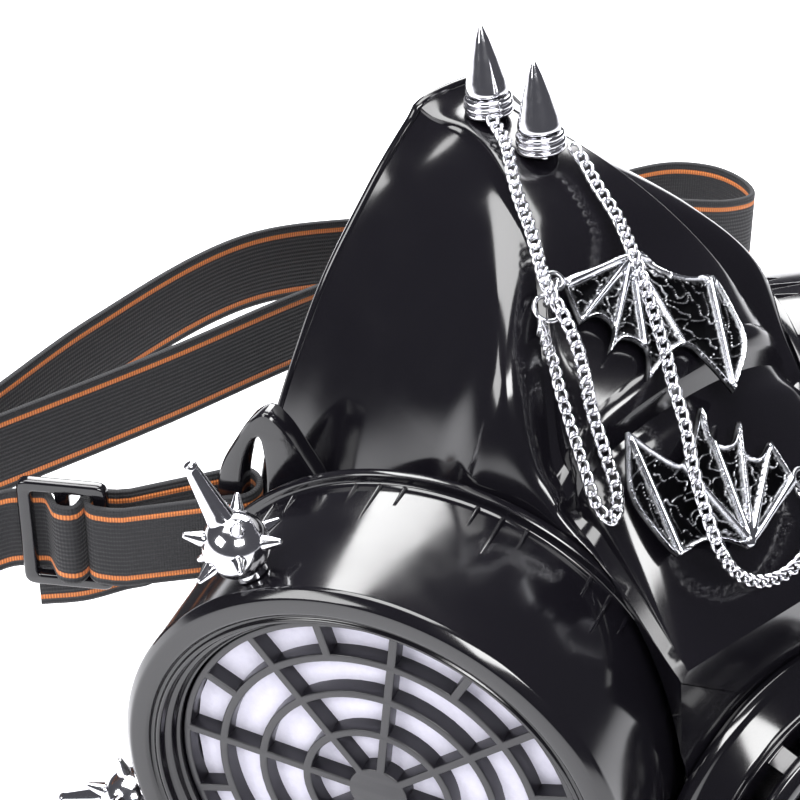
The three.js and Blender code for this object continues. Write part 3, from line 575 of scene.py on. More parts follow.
@dataclass(frozen=True)
class AntiqueSilver:
    """Cast zinc with oxidised silver plate: dark in its hollows, rubbed bright on top.

    The float attribute named relief holds the height, from 0 in a hollow to 1 on a ridge.
    """

    name: str
    bright: str
    dark: str

    def material(self) -> bpy.types.Material:
        """Builds the finish."""
        material, tree, shader, places = new_material(self.name)
        shader.inputs["Metallic"].default_value = 1.0
        relief = add_node(tree, "ShaderNodeAttribute", {"attribute_name": "relief"})
        speckle = add_node(
            tree,
            "ShaderNodeTexNoise",
            inputs={"Vector": places, "Scale": per_metre(0.9), "Detail": 6.0, "Roughness": 0.7},
        )
        lift = add_node(
            tree,
            "ShaderNodeMath",
            {"operation": "MULTIPLY_ADD"},
            {0: speckle.outputs["Fac"], 1: 0.5, 2: relief.outputs["Fac"]},
        )
        ramp = add_node(tree, "ShaderNodeValToRGB", inputs={"Fac": lift.outputs[0]})
        ramp.color_ramp.elements[0].position = 0.36
        ramp.color_ramp.elements[0].color = linear(self.dark)
        ramp.color_ramp.elements[1].position = 0.86
        ramp.color_ramp.elements[1].color = linear(self.bright)
        tree.links.new(ramp.outputs["Color"], shader.inputs["Base Color"])
        rough = add_node(
            tree,
            "ShaderNodeMapRange",
            inputs={"Value": lift.outputs[0], 1: 0.3, 2: 0.9, 3: 0.46, 4: 0.16},
        )
        tree.links.new(rough.outputs[0], shader.inputs["Roughness"])
        bump = add_node(
            tree,
            "ShaderNodeBump",
            inputs={"Height": speckle.outputs["Fac"], "Distance": 0.05 * MM},
        )
        tree.links.new(bump.outputs[0], shader.inputs["Normal"])
        return material


@dataclass(frozen=True)
class WovenElastic:
    """Woven polyester elastic: dull black cords along the band with two orange threads.

    The UV map holds millimetres along the band and across it, from its middle.
    """

    name: str
    colour: str
    stripe: str
    width_mm: float = 20.0
    cord_mm: float = 1.05
    pick_mm: float = 0.62
    stripe_from_edge_mm: float = 2.4
    stripe_mm: float = 1.15

    def material(self) -> bpy.types.Material:
        """Builds the finish."""
        material, tree, shader, _ = new_material(self.name)
        shader.inputs["Sheen Weight"].default_value = 0.05
        shader.inputs["Sheen Roughness"].default_value = 0.45
        shader.inputs["Roughness"].default_value = 0.8
        spread = add_node(tree, "ShaderNodeUVMap", {"uv_map": "cloth"})
        parts = add_node(tree, "ShaderNodeSeparateXYZ", inputs={0: spread.outputs[0]})
        along, across = parts.outputs[0], parts.outputs[1]
        cords = self.sine(tree, across, self.cord_mm)
        picks = self.sine(tree, along, self.pick_mm)
        height = add_node(
            tree,
            "ShaderNodeMath",
            {"operation": "MULTIPLY_ADD"},
            {0: picks, 1: 0.45, 2: cords},
        )
        fuzz = add_node(
            tree,
            "ShaderNodeTexNoise",
            inputs={"Vector": spread.outputs[0], "Scale": 1.8, "Detail": 4.0},
        )
        height = add_node(
            tree,
            "ShaderNodeMath",
            {"operation": "MULTIPLY_ADD"},
            {0: fuzz.outputs["Fac"], 1: 0.8, 2: height.outputs[0]},
        )
        middle = self.width_mm / 2 - self.stripe_from_edge_mm
        away = add_node(tree, "ShaderNodeMath", {"operation": "ABSOLUTE"}, {0: across})
        away = add_node(
            tree, "ShaderNodeMath", {"operation": "SUBTRACT"}, {0: away.outputs[0], 1: middle}
        )
        away = add_node(tree, "ShaderNodeMath", {"operation": "ABSOLUTE"}, {0: away.outputs[0]})
        on_stripe = add_node(
            tree,
            "ShaderNodeMapRange",
            inputs={
                "Value": away.outputs[0],
                1: self.stripe_mm * 0.4,
                2: self.stripe_mm * 0.6,
                3: 1.0,
                4: 0.0,
            },
        )
        tone = add_node(
            tree,
            "ShaderNodeMix",
            {"data_type": "RGBA"},
            {0: fuzz.outputs["Fac"], 6: linear(self.colour), 7: linear("#17171c")},
        )
        # Painted shade: the orange thread is mixed toward dark brown #8a4a20 in the dips between picks,
        # where the bump is lowest.
        thread_painted_shade = add_node(
            tree,
            "ShaderNodeMix",
            {"data_type": "RGBA"},
            {0: picks, 6: linear("#8a4a20"), 7: linear(self.stripe)},
        )
        colour = add_node(
            tree,
            "ShaderNodeMix",
            {"data_type": "RGBA"},
            {0: on_stripe.outputs[0], 6: tone.outputs[2], 7: thread_painted_shade.outputs[2]},
        )
        tree.links.new(colour.outputs[2], shader.inputs["Base Color"])
        bump = add_node(
            tree,
            "ShaderNodeBump",
            inputs={"Height": height.outputs[0], "Distance": 0.16 * MM, "Strength": 0.9},
        )
        tree.links.new(bump.outputs[0], shader.inputs["Normal"])
        return material

    @staticmethod
    def sine(tree: bpy.types.NodeTree, value: Any, pitch_mm: float) -> Any:
        """A wave from 0 to 1 with this pitch.

        Args:
            tree: The material's node tree.
            value: Socket with millimetres.
            pitch_mm: Length of one wave.

        Returns:
            The wave's socket.
        """
        turned_value = add_node(
            tree, "ShaderNodeMath", {"operation": "MULTIPLY"}, {0: value, 1: TURN / pitch_mm}
        )
        wave = add_node(
            tree, "ShaderNodeMath", {"operation": "SINE"}, {0: turned_value.outputs[0]}
        )
        half = add_node(
            tree,
            "ShaderNodeMath",
            {"operation": "MULTIPLY_ADD"},
            {0: wave.outputs[0], 1: 0.5, 2: 0.5},
        )
        return half.outputs[0]


@dataclass(frozen=True)
class NonWovenPad:
    """Needled polyester filter pad: matt pale fibres with a soft mottled face."""

    name: str
    colour: str
    shade: str

    def material(self) -> bpy.types.Material:
        """Builds the finish."""
        material, tree, shader, places = new_material(self.name)
        shader.inputs["Roughness"].default_value = 0.95
        shader.inputs["Sheen Weight"].default_value = 0.2
        fibres = add_node(
            tree,
            "ShaderNodeTexNoise",
            inputs={"Vector": places, "Scale": per_metre(1.4), "Detail": 8.0, "Roughness": 0.65},
        )
        tone = add_node(
            tree,
            "ShaderNodeMix",
            {"data_type": "RGBA"},
            {0: fibres.outputs["Fac"], 6: linear(self.colour), 7: linear(self.shade)},
        )
        tree.links.new(tone.outputs[2], shader.inputs["Base Color"])
        bump = add_node(
            tree,
            "ShaderNodeBump",
            inputs={"Height": fibres.outputs["Fac"], "Distance": 0.12 * MM},
        )
        tree.links.new(bump.outputs[0], shader.inputs["Normal"])
        return material


GLOSSY_ABS = MouldedPlastic("glossy_abs", "#0c0b0f", 0.1)
SATIN_ABS = MouldedPlastic(
    "satin_abs", "#19181d", 0.42, grain_mm=0.5, grain_depth_mm=0.03
)
GRILLE_ABS = MouldedPlastic("grille_abs", "#121116", 0.3)
NICKEL = PolishedMetal("polished_nickel", "#d2d2d6", 0.05)
CAST_SILVER = AntiqueSilver("antique_silver_cast", "#c4c5ca", "#0b0b0d")
ELASTIC = WovenElastic("woven_elastic", "#09090c", "#cf7a3c")
PAD = NonWovenPad("needled_pad", "#dbd9e6", "#c6c4d4")


class Dresser:
    """Gives each piece its finish, its body and the nodes it stands for."""

    def __init__(self) -> None:
        """Starts with no finish made."""
        self.made: dict[str, bpy.types.Material] = {}

    def finish(self, finish: Any) -> bpy.types.Material:
        """The material of a finish, made once."""
        if finish.name not in self.made:
            self.made[finish.name] = finish.material()
        return self.made[finish.name]

    def dress(
        self,
        piece: bpy.types.Object,
        slot: str,
        nodes: Sequence[str],
        *finishes: Any,
    ) -> bpy.types.Object:
        """Finishes a piece and puts it in the place of its solids.

        Args:
            piece: The piece.
            slot: The record's material slot; not used.
            nodes: The solids that it replaces.
            finishes: Its finishes, in the order of its material numbers.

        Returns:
            The piece.
        """
        piece.data.materials.clear()
        for finish in finishes:
            piece.data.materials.append(self.finish(finish))
        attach(piece, "root")
        if nodes:
            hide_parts(*nodes)
        LOG.info("%s: %d faces", piece.name, len(piece.data.polygons))
        return piece

    def refinish(self, node: str, finish: Any) -> None:
        """Gives a solid that stays its own finish.

        Args:
            node: The solid's name.
            finish: Its finish.
        """
        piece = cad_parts[node]
        piece.data.materials.clear()
        piece.data.materials.append(self.finish(finish))


# The cup

SECTION_COLUMNS = (
    "y top edge_x edge_z temple_x temple_z cheek_x cheek_z side_x side_z jaw_x jaw_z "
    "chin_x chin_z low raised"
).split()
# Shares of height and half width, as in the solid's own table
SECTION_ROWS = (
    (0.0, 0.985, 0.19, 0.973, 0.425, 0.882, 0.725, 0.73, 0.98, 0.49, 0.87, 0.24, 0.48, 0.055, 0.003, 0.0),
    (0.04, 0.972, 0.17, 0.964, 0.425, 0.876, 0.725, 0.73, 0.98, 0.488, 0.87, 0.24, 0.48, 0.055, 0.008, 0.0),
    (0.11, 0.967, 0.12, 0.962, 0.415, 0.876, 0.735, 0.725, 0.98, 0.485, 0.87, 0.24, 0.48, 0.055, 0.012, 0.4),
    (0.25, 0.956, 0.18, 0.948, 0.435, 0.873, 0.745, 0.713, 0.97, 0.47, 0.84, 0.235, 0.47, 0.058, 0.018, 1.0),
    (0.42, 0.91, 0.295, 0.898, 0.535, 0.848, 0.775, 0.692, 0.95, 0.455, 0.78, 0.23, 0.43, 0.062, 0.024, 1.0),
    (0.53, 0.854, 0.44, 0.814, 0.66, 0.787, 0.82, 0.648, 0.88, 0.43, 0.7, 0.225, 0.4, 0.066, 0.028, 1.0),
    (0.625, 0.812, 0.535, 0.708, 0.67, 0.692, 0.73, 0.582, 0.77, 0.4, 0.62, 0.22, 0.36, 0.07, 0.031, 1.0),
    (0.83, 0.668, 0.56, 0.61, 0.6, 0.58, 0.58, 0.5, 0.58, 0.37, 0.5, 0.215, 0.3, 0.085, 0.04, 1.0),
    (1.0, 0.548, 0.59, 0.546, 0.62, 0.528, 0.6, 0.46, 0.56, 0.33, 0.46, 0.19, 0.28, 0.075, 0.03, 1.0),
)


def hermite(rows: Sequence[Point], share: float) -> np.ndarray:
    """All columns of a table at a place between its rows, the first column being the place."""
    table = np.array(rows, float)
    last = len(table) - 1
    i = int(np.clip(np.searchsorted(table[:, 0], share, side="right") - 1, 0, last - 1))
    r = [table[min(max(k, 0), last)] for k in (i - 1, i, i + 1, i + 2)]
    span = r[2][0] - r[1][0]
    t = (share - r[1][0]) / span
    m0 = (r[2] - r[0]) / max(r[2][0] - r[0][0], 1e-6) * span
    m1 = (r[3] - r[1]) / max(r[3][0] - r[1][0], 1e-6) * span
    return (
        (2 * t**3 - 3 * t**2 + 1) * r[1]
        + (t**3 - 2 * t**2 + t) * m0
        + (3 * t**2 - 2 * t**3) * r[2]
        + (t**3 - t**2) * m1
    )


def uniform_spline(points: Sequence[Point], count: int) -> list[tuple[float, float]]:
    """Points on an even smooth curve through flat places, as in the solid's own sections."""
    p = [np.array(q, float) for q in points]
    done = []
    for i in range(count + 1):
        at = i / count * (len(p) - 1)
        k = min(int(at), len(p) - 2)
        t = at - k
        a = p[max(k - 1, 0)]
        b, c = p[k], p[k + 1]
        d = p[min(k + 2, len(p) - 1)]
        v0, v1 = (c - a) / 2, (d - b) / 2
        q = (
            (2 * b - 2 * c + v0 + v1) * t**3
            + (-3 * b + 3 * c - 2 * v0 - v1) * t**2
            + v0 * t
            + b
        )
        done.append((float(q[0]), float(q[1])))
    return done


@dataclass
class FaceCup:
    """The moulded cup with its raised panel, arch step and strap lugs."""

    height: float = 157.0
    half_width: float = 52.0
    rim_y: float = RIM_Y
    front_y: float = -37.0
    wall: float = 2.6
    panel_raise: float = 1.7
    panel_bevel: float = 1.6
    step_at: float = 0.655
    step_drop: float = 3.4
    bead: float = 0.9
    arch: float = 3.7
    crown_points: int = 36
    side_points: int = 80

    def drop(self, share: float) -> float:
        """How far the crown sinks at a share of the depth: bead, step and hollow."""
        past = share - self.step_at
        if past < -0.022:
            return 0.0
        if past < 0.012:
            return -self.bead * math.sin((past + 0.022) / 0.034 * math.pi) ** 0.8
        if past < 0.020:
            return self.step_drop * (past - 0.012) / 0.008
        if past < 0.095:
            return self.step_drop * (0.5 + 0.5 * math.cos((past - 0.020) / 0.075 * math.pi))
        return 0.0

    def ring(self, share: float, inner: bool, y: float | None = None) -> np.ndarray:
        """One section of the cup.

        Args:
            share: Share of the way from the rim to the front.
            inner: Whether it is the hollow's section.
            y: Where the section stands, or None for its own place.

        Returns:
            The section's points.
        """
        s = dict(zip(SECTION_COLUMNS, hermite(SECTION_ROWS, share)))
        lift = 0.0 if inner else self.panel_raise * s["raised"]
        sunk = self.bead if inner else self.drop(share)
        if inner and share >= 1.0:
            sunk = self.wall
        under = self.panel_raise * s["raised"] if inner else 0.0
        top = s["top"] * self.height - sunk - under
        edge_x = s["edge_x"] * self.half_width
        edge_z = s["edge_z"] * self.height - sunk - under
        crown_points = 10 if inner else self.crown_points
        side_points = 36 if inner else self.side_points
        half = []
        for i in range(crown_points + 1):
            t = i / crown_points * math.pi / 2
            half.append((edge_x * math.sin(t), edge_z + (top - edge_z) * math.cos(t)))
        foot = (
            edge_x + self.panel_bevel * (1.0 if inner else s["raised"]),
            edge_z - lift - 0.25 * self.panel_bevel + sunk * 0.5,
        )
        side = uniform_spline(
            [
                foot,
                *(
                    (s[f"{n}_x"] * self.half_width, s[f"{n}_z"] * self.height)
                    for n in ("temple", "cheek", "side", "jaw", "chin")
                ),
                (0.0, s["low"] * self.height),
            ],
            side_points,
        )
        half += side
        outline = np.array(half + [(-x, z) for x, z in half[-2:0:-1]])
        before, after = np.roll(outline, 1, 0), np.roll(outline, -1, 0)
        along = after - before
        along /= np.maximum(np.linalg.norm(along, axis=1, keepdims=True), 1e-9)
        inset = -self.wall if inner else 0.0
        x = outline[:, 0] - along[:, 1] * inset
        z = outline[:, 1] + along[:, 0] * inset
        near = max(0.0, 1.0 - abs(share - self.step_at) / 0.16)
        bow = np.maximum(0.0, 1.0 - (outline[:, 0] / (0.55 * self.half_width)) ** 2)
        lean = self.arch * bow * near * (outline[:, 1] > 0.5 * self.height)
        station = self.rim_y + (self.front_y - self.rim_y) * share if y is None else y
        return np.stack([x, station - lean + SHIFT_Y, z], 1)

    def outer(self) -> bpy.types.Object:
        """The cup's outer body, filled."""
        shares = set(np.linspace(0.0, 1.0, 76).round(4))
        shares |= set((self.step_at + np.linspace(-0.026, 0.1, 42)).round(4))
        return add_object("face_cup_dressed", *skin([self.ring(s, False) for s in sorted(shares)]))

    def hollow(self) -> bpy.types.Object:
        """The cup's hollow as a tool body."""
        rings = [self.ring(0.0, True, self.rim_y + 8.0)]
        rings += [self.ring(s, True) for s in np.linspace(0.0, 0.86, 34)]
        rings.append(self.ring(1.0, True, self.front_y + self.wall))
        return add_object("hollow", *skin(rings))

    def clearance(self, side: int, margin: float) -> bpy.types.Object:
        """The room that a canister takes from the cup, with a margin."""
        can = FilterCanister(side)
        back = -can.length - 0.3 - margin
        radius = can.flange_r + 0.6 + margin
        return turned(
            "clearance", [(0, back), (radius, back), (radius, 12.0), (0, 12.0)], 160, can.axis_place()
        )

    def lug(self, side: int) -> bpy.types.Object:
        """One strap lug: a rounded plate beside the rim with a leaf-shaped slot."""
        can = FilterCanister(side)
        edge = smooth_path(
            [
                (26, 7, 0), (25.6, 20, 0), (26.5, 35, 0), (31.5, 44, 0), (36.3, 50.6, 0),
                (39.5, 52.6, 0), (42.7, 50.4, 0), (46.5, 44, 0), (49.6, 37.5, 0), (51.0, 29, 0),
                (50.3, 20, 0), (46.5, 11, 0), (38, 5.2, 0), (30, 4.6, 0),
            ],
            1.0,
            closed=True,
        )
        slot = smooth_path(
            [
                (40.6, 10.9, 0), (44.4, 11.6, 0), (45.2, 24, 0), (44.8, 36, 0), (43.2, 43, 0),
                (41.2, 46.3, 0), (40.2, 42, 0), (40.0, 30, 0),
            ],
            1.0,
            closed=True,
        )
        frame_matrix = can.place()
        plate = frame_matrix @ basis(
            (0, side, 0), (0, 0, 1), (1, 0, 0), (-46.0 - 2.5, 0, 0)
        )
        return flat_plate("lug", [edge[:, :2], slot[:, :2]], 5.0, 1.0, plate)

    def build(self, dresser: Dresser) -> None:
        """Builds and dresses the cup."""
        cup = self.outer()
        hollow = self.hollow()
        for side in (-1, 1):
            carve(cup, self.clearance(side, 0.0), Cut.TAKE_AWAY)
            carve(hollow, self.clearance(side, self.wall), Cut.TAKE_AWAY)
        for side in (-1, 1):
            carve(cup, self.lug(side), Cut.FUSE)
        carve(cup, hollow, Cut.TAKE_AWAY)
        clean(cup, 24.0)
        dresser.dress(cup, "shell_plastic", ["face_cup"], GLOSSY_ABS)
        lip_path = self.ring(0.006, False)
        lip_path[:, 1] = self.rim_y - 0.4 + SHIFT_Y
        lip_path = smooth_path(lip_path[::3] * np.array([0.988, 1.0, 0.994]) + (0, 0, 0.3), 1.2, True)
        lip = tube("rim_lip", lip_path, 1.1, 12, closed=True)
        dresser.dress(lip, "shell_plastic", [], GLOSSY_ABS)


# Filter canisters


@dataclass
class FilterCanister:
    """A canister with its grille, pad, ribs and two studded balls."""

    side: int
    flange_r: float = 53.6
    flange_t: float = 2.3
    body_r: float = 51.4
    length: float = 36.9
    mouth_r: float = 45.6
    grille_r: float = 41.0
    grille_t: float = 4.0
    grille_depth: float = 5.5
    web_rib: float = 1.7
    front_x: float = 77.8
    front_y: float = -1.6
    turn: float = math.radians(27.2)
    rib_groups: int = 13
    first_group_deg: float = 12.5
    spoke_phase_deg: float = -4.6
    ball_r: float = 6.4
    ball_neck: float = 0.3

    @property
    def name(self) -> str:
        """The side's word."""
        return "left" if self.side < 0 else "right"

    def place(self) -> Matrix:
        """The mouth's frame, with +X out of the mouth."""
        angle = -self.turn if self.side > 0 else math.pi + self.turn
        at = Vector((self.side * self.front_x, self.front_y + SHIFT_Y, self.flange_r))
        return Matrix.Translation(at) @ Matrix.Rotation(angle, 4, "Z")

    def axis_place(self) -> Matrix:
        """The same frame for turned bodies, with +Z out of the mouth."""
        return self.place() @ Matrix.Rotation(math.pi / 2, 4, "Y")

    def rear_place(self) -> Matrix:
        """A flat frame on the mouth: X to the rear, Y up and Z out of the mouth or into it."""
        return self.place() @ basis((0, self.side, 0), (0, 0, 1), (self.side, 0, 0), (0, 0, 0))

    def housing(self) -> bpy.types.Object:
        """The turned housing with its ribs and its matt mouth rim."""
        back = -self.length
        seat = -self.grille_depth - self.grille_t - 2.9
        profile = rounded(
            [
                (0, back),
                (self.flange_r, back),
                (self.flange_r, back + self.flange_t),
                (self.body_r + 0.5, back + self.flange_t),
                (self.body_r, back + self.flange_t + 0.7),
                (self.body_r, -1.7),
                (self.body_r - 1.7, 0),
                (self.mouth_r + 0.6, -0.15),
                (self.mouth_r + 0.1, -1.3),
                (self.mouth_r - 0.6, -1.35),
                (self.mouth_r - 1.0, -0.7),
                (self.mouth_r - 1.7, -0.8),
                (self.mouth_r - 2.1, -2.7),
                (self.grille_r + 1.5, -2.9),
                (self.grille_r + 0.9, -4.6),
                (self.grille_r + 0.3, -4.8),
                (self.grille_r + 0.3, seat),
                (0, seat),
            ],
            0.55,
            3,
        )
        body = turned(f"canister_{self.name}_housing", profile, 180, self.axis_place(), 30.0)
        ribs = []
        for group in range(self.rib_groups):
            for offset, reach in ((-5.7, 5.5), (0.0, 11.0), (5.7, 5.5)):
                angle = self.first_group_deg + offset + group * 360.0 / self.rib_groups
                ribs.append(self.rib(math.radians(angle), reach))
        body = joined(f"canister_{self.name}_housing", [body, *ribs])
        inverse = (Matrix.Scale(MM, 4) @ self.place()).inverted()
        for face in body.data.polygons:
            at = inverse @ face.center
            radius = math.hypot(at.y, at.z)
            if at.x > -5.2 and radius < self.body_r - 0.45:
                face.material_index = 1
        return body

    def rib(self, angle: float, reach: float) -> bpy.types.Object:
        """A fine raised rib on the side wall that fades out forward of the flange."""
        start = -self.length + self.flange_t + 0.6
        stations = np.linspace(0.0, 1.0, 9)
        rings = []
        for t in stations:
            tall = 0.62 * (1 - t) ** 0.7 + 0.02
            wide = 0.62 * (1 - 0.45 * t)
            across = np.linspace(-1, 1, 9)
            local = [(tall * (1 - a * a), wide * a) for a in across]
            local = [(-0.3, -wide), *local, (-0.3, wide)]
            rings.append(
                np.array([(start + reach * t, w, self.body_r + h) for h, w in local])
            )
        turn = Matrix.Rotation(-self.side * angle, 4, "X")
        piece = add_object("rib", *skin(rings), self.place() @ turn)
        clean(piece, 50.0)
        return piece

    def grille(self) -> bpy.types.Object:
        """The spider-web grille, a plate with windows between its rings and spokes."""
        edge = [
            (self.grille_r * math.cos(a), self.grille_r * math.sin(a))
            for a in np.linspace(0, TURN, 160, endpoint=False)
        ]
        outlines = [edge]
        bands = ((0.125, 0.36, 8), (0.36, 0.585, 8), (0.585, 0.79, 8), (0.79, 0.985, 16))
        half = self.web_rib / 2
        for inner, outer, windows in bands:
            low, high = inner * self.grille_r + half, outer * self.grille_r - half
            # windows start at the spokes, whose phase is counted from the top to the rear
            phase = math.radians(90.0 - self.spoke_phase_deg)
            for i in range(windows):
                a0 = phase + i * TURN / windows
                a1 = phase + (i + 1) * TURN / windows
                low_arc = [
                    (low * math.cos(a), low * math.sin(a))
                    for a in np.linspace(a1 - math.asin(half / low), a0 + math.asin(half / low), 7)
                ]
                high_arc = [
                    (high * math.cos(a), high * math.sin(a))
                    for a in np.linspace(
                        a0 + math.asin(half / high), a1 - math.asin(half / high), 15
                    )
                ]
                outlines.append(low_arc + high_arc)
        place = self.rear_place() @ Matrix.Translation(
            (0, 0, self.side * (-self.grille_depth) - (self.grille_t if self.side > 0 else 0.0))
        )
        return flat_plate(f"grille_{self.name}_web", outlines, self.grille_t, 0.35, place)

    def ball(self, level: str) -> bpy.types.Object:
        """A studded ball with one long blunt spike, fused to its neck."""
        node = f"studded_ball_{level}_{self.name}"
        turn = math.radians(29.0 if level == "upper" else 112.0)
        radius = self.body_r + GAP + self.ball_r + self.ball_neck
        local = Matrix.Translation(
            (-6.8, self.side * radius * math.sin(turn), radius * math.cos(turn))
        )
        place = self.place() @ local @ Matrix.Rotation(-self.side * turn, 4, "X")
        pieces = []
        r = self.ball_r
        arc = [(r * math.sin(a), -r * math.cos(a)) for a in np.linspace(0.0, math.pi, 33)]
        arc[0], arc[-1] = (0.0, -r), (0.0, r)
        pieces.append(turned(node, arc, 48, place, 60.0))
        spike = rounded(
            [(0, 3.4), (2.7, 3.4), (2.7, r - 0.2), (2.5, r + 0.9), (1.35, 17.0), (1.4, 17.3),
             (1.3, 18.1), (0.6, 18.5), (0, 18.5)],
            0.4,
        )
        pieces.append(turned("spike", spike, 32, place, 50.0))
        for count, height, offset in ((6, -8.0, 0.0), (3, 40.0, 30.0)):
            for i in range(count):
                angle = i * TURN / count + math.radians(offset)
                spin = Matrix.Rotation(angle, 4, "Z") @ Matrix.Rotation(
                    math.radians(90 - height), 4, "X"
                )
                stud = rounded(
                    [(0, r - 1.6), (1.5, r - 1.6), (1.5, r), (0.7, r + 2.8), (0.5, r + 3.45), (0, r + 3.6)],
                    0.25,
                )
                pieces.append(turned("stud", stud, 20, place @ spin, 50.0))
        foot = -r - self.ball_neck
        neck = [(0, foot), (3.0, foot), (3.0, -0.7 * r), (0, -0.7 * r)]
        pieces.append(turned("neck", neck, 24, place))
        return joined(f"{node}_polished", pieces)

    def build(self, dresser: Dresser) -> None:
        """Builds and dresses one canister."""
        dresser.dress(
            self.housing(), "shell_plastic", [f"canister_{self.name}"], GLOSSY_ABS, SATIN_ABS
        )
        dresser.dress(
            self.grille(), "grille_plastic", [f"filter_grille_{self.name}"], GRILLE_ABS
        )
        dresser.refinish(f"filter_pad_{self.name}", PAD)
        for level in ("upper", "lower"):
            node = f"studded_ball_{level}_{self.name}"
            dresser.dress(self.ball(level), "polished_steel", [node], NICKEL)


# Front valve


@dataclass
class FrontValve:
    """The round valve cover with its slots, and the engraved disc in its face."""

    radius: float = 36.0
    depth: float = 17.0
    slots: int = 12
    disc_r: float = 24.0
    front_y: float = -37.0
    centre_z: float = 36.4

    def place(self, forward: float) -> Matrix:
        """A frame with +Z out of the valve's face, this far forward of the cup."""
        at = Vector((0.0, self.front_y - GAP - forward + SHIFT_Y, self.centre_z))
        return Matrix.Translation(at) @ Matrix.Rotation(math.pi / 2, 4, "X")

    def cover(self) -> bpy.types.Object:
        """The turned cover with its side slots cut through."""
        r, d = self.radius, self.depth
        inside = r - 8.2
        profile = rounded(
            [
                (0, d - 4.4), (inside, d - 4.4), (inside, 7.0), (r - 2.6, 2.0), (r - 2.6, 0),
                (r, 0), (r, 1.2), (r - 0.7, 2.4), (r - 1.6, 2.9), (r - 5.0, 7.4), (r - 5.2, 8.2),
                (r - 4.6, 8.6), (r - 4.6, 9.2), (r - 5.4, 9.6), (r - 5.7, 13.6), (r - 5.0, 14.1),
                (r - 5.0, 15.2), (r - 6.6, d - 0.2), (r - 8.2, d), (r - 9.4, d - 0.9),
                (self.disc_r + 1.2, d - 0.9), (self.disc_r + 0.3, d - 1.2),
                (self.disc_r + 0.3, d - 1.8), (0, d - 1.8),
            ],
            0.35,
            3,
        )
        body = turned("valve_cover_moulded", profile, 144, self.place(0.0), 30.0)
        wide = TURN * r * 0.62 / self.slots
        for i in range(self.slots):
            angle = (i + 0.5) * TURN / self.slots
            outline = rounded(
                [(-3.5, 0), (-3.5, wide / 2), (6.5, wide / 2), (6.5, -wide / 2), (-3.5, -wide / 2),
                 (-3.5, 0)],
                0.6,
            )[1:]
            spin = Matrix.Rotation(angle, 4, "Z") @ Matrix.Translation((inside + 1.5, 0, 9.3))
            tool = flat_plate("slot", [outline], 4.2, 0.2, self.place(0.0) @ spin)
            carve(body, tool, Cut.TAKE_AWAY)
        clean(body, 30.0)
        return body

    def ornament(self) -> bpy.types.Object:
        """The engraved disc: a raised rim, leaf petals and fine turned rings."""
        rim, count = self.disc_r, 144
        radii = np.linspace(0.0, rim, 130)[1:]
        angles = np.linspace(0.0, TURN, count * 2, endpoint=False)
        grid_r, grid_a = np.meshgrid(radii, angles, indexing="ij")
        petal_at = np.abs(((grid_a * 6 / TURN) % 1.0) - 0.5) * 2
        petal_wide = 0.55 * np.sin(np.clip((grid_r - 5.5) / 14.0, 0, 1) * math.pi)
        petal = np.clip(petal_wide - (1 - petal_at), 0, 0.3) / 0.3
        vein = np.exp(-(((1 - petal_at) / 0.05) ** 2)) * (petal > 0)
        height = 1.3 + 0.75 * petal - 0.3 * vein
        height += 0.9 * np.exp(-(((grid_r - rim + 1.4) / 0.9) ** 2))
        height += 0.35 * np.exp(-(((grid_r - rim + 3.4) / 0.3) ** 2))
        height += 0.9 * np.clip(1 - (grid_r / 4.4) ** 2, 0, 1)
        height = np.minimum(height, 2.75)
        rings = []
        for i, r in enumerate(radii):
            rings.append(np.stack([r * np.cos(angles), r * np.sin(angles), height[i]], 1))
        rings.append(np.stack([rim * np.cos(angles), rim * np.sin(angles), 0 * angles], 1))
        piece = add_object(
            "valve_ornament_engraved", *skin(rings), self.place(self.depth - 1.8 + GAP)
        )
        clean(piece, 60.0)
        self.mark_relief(piece)
        return piece

    def mark_relief(self, piece: bpy.types.Object) -> None:
        """Writes how raised each corner of the disc is."""
        back = (Matrix.Scale(MM, 4) @ self.place(self.depth - 1.5)).inverted()
        marks = piece.data.attributes.new("relief", "FLOAT", "POINT")
        for mark, vertex in zip(marks.data, piece.data.vertices):
            mark.value = float(np.clip(((back @ vertex.co).z - 1.2) / 0.9, 0.0, 1.0))

    def build(self, dresser: Dresser) -> None:
        """Builds and dresses the valve."""
        dresser.dress(self.cover(), "shell_plastic", ["valve_cover"], GLOSSY_ABS)
        dresser.dress(self.ornament(), "antique_silver", ["valve_ornament"], CAST_SILVER)


# Nose spikes


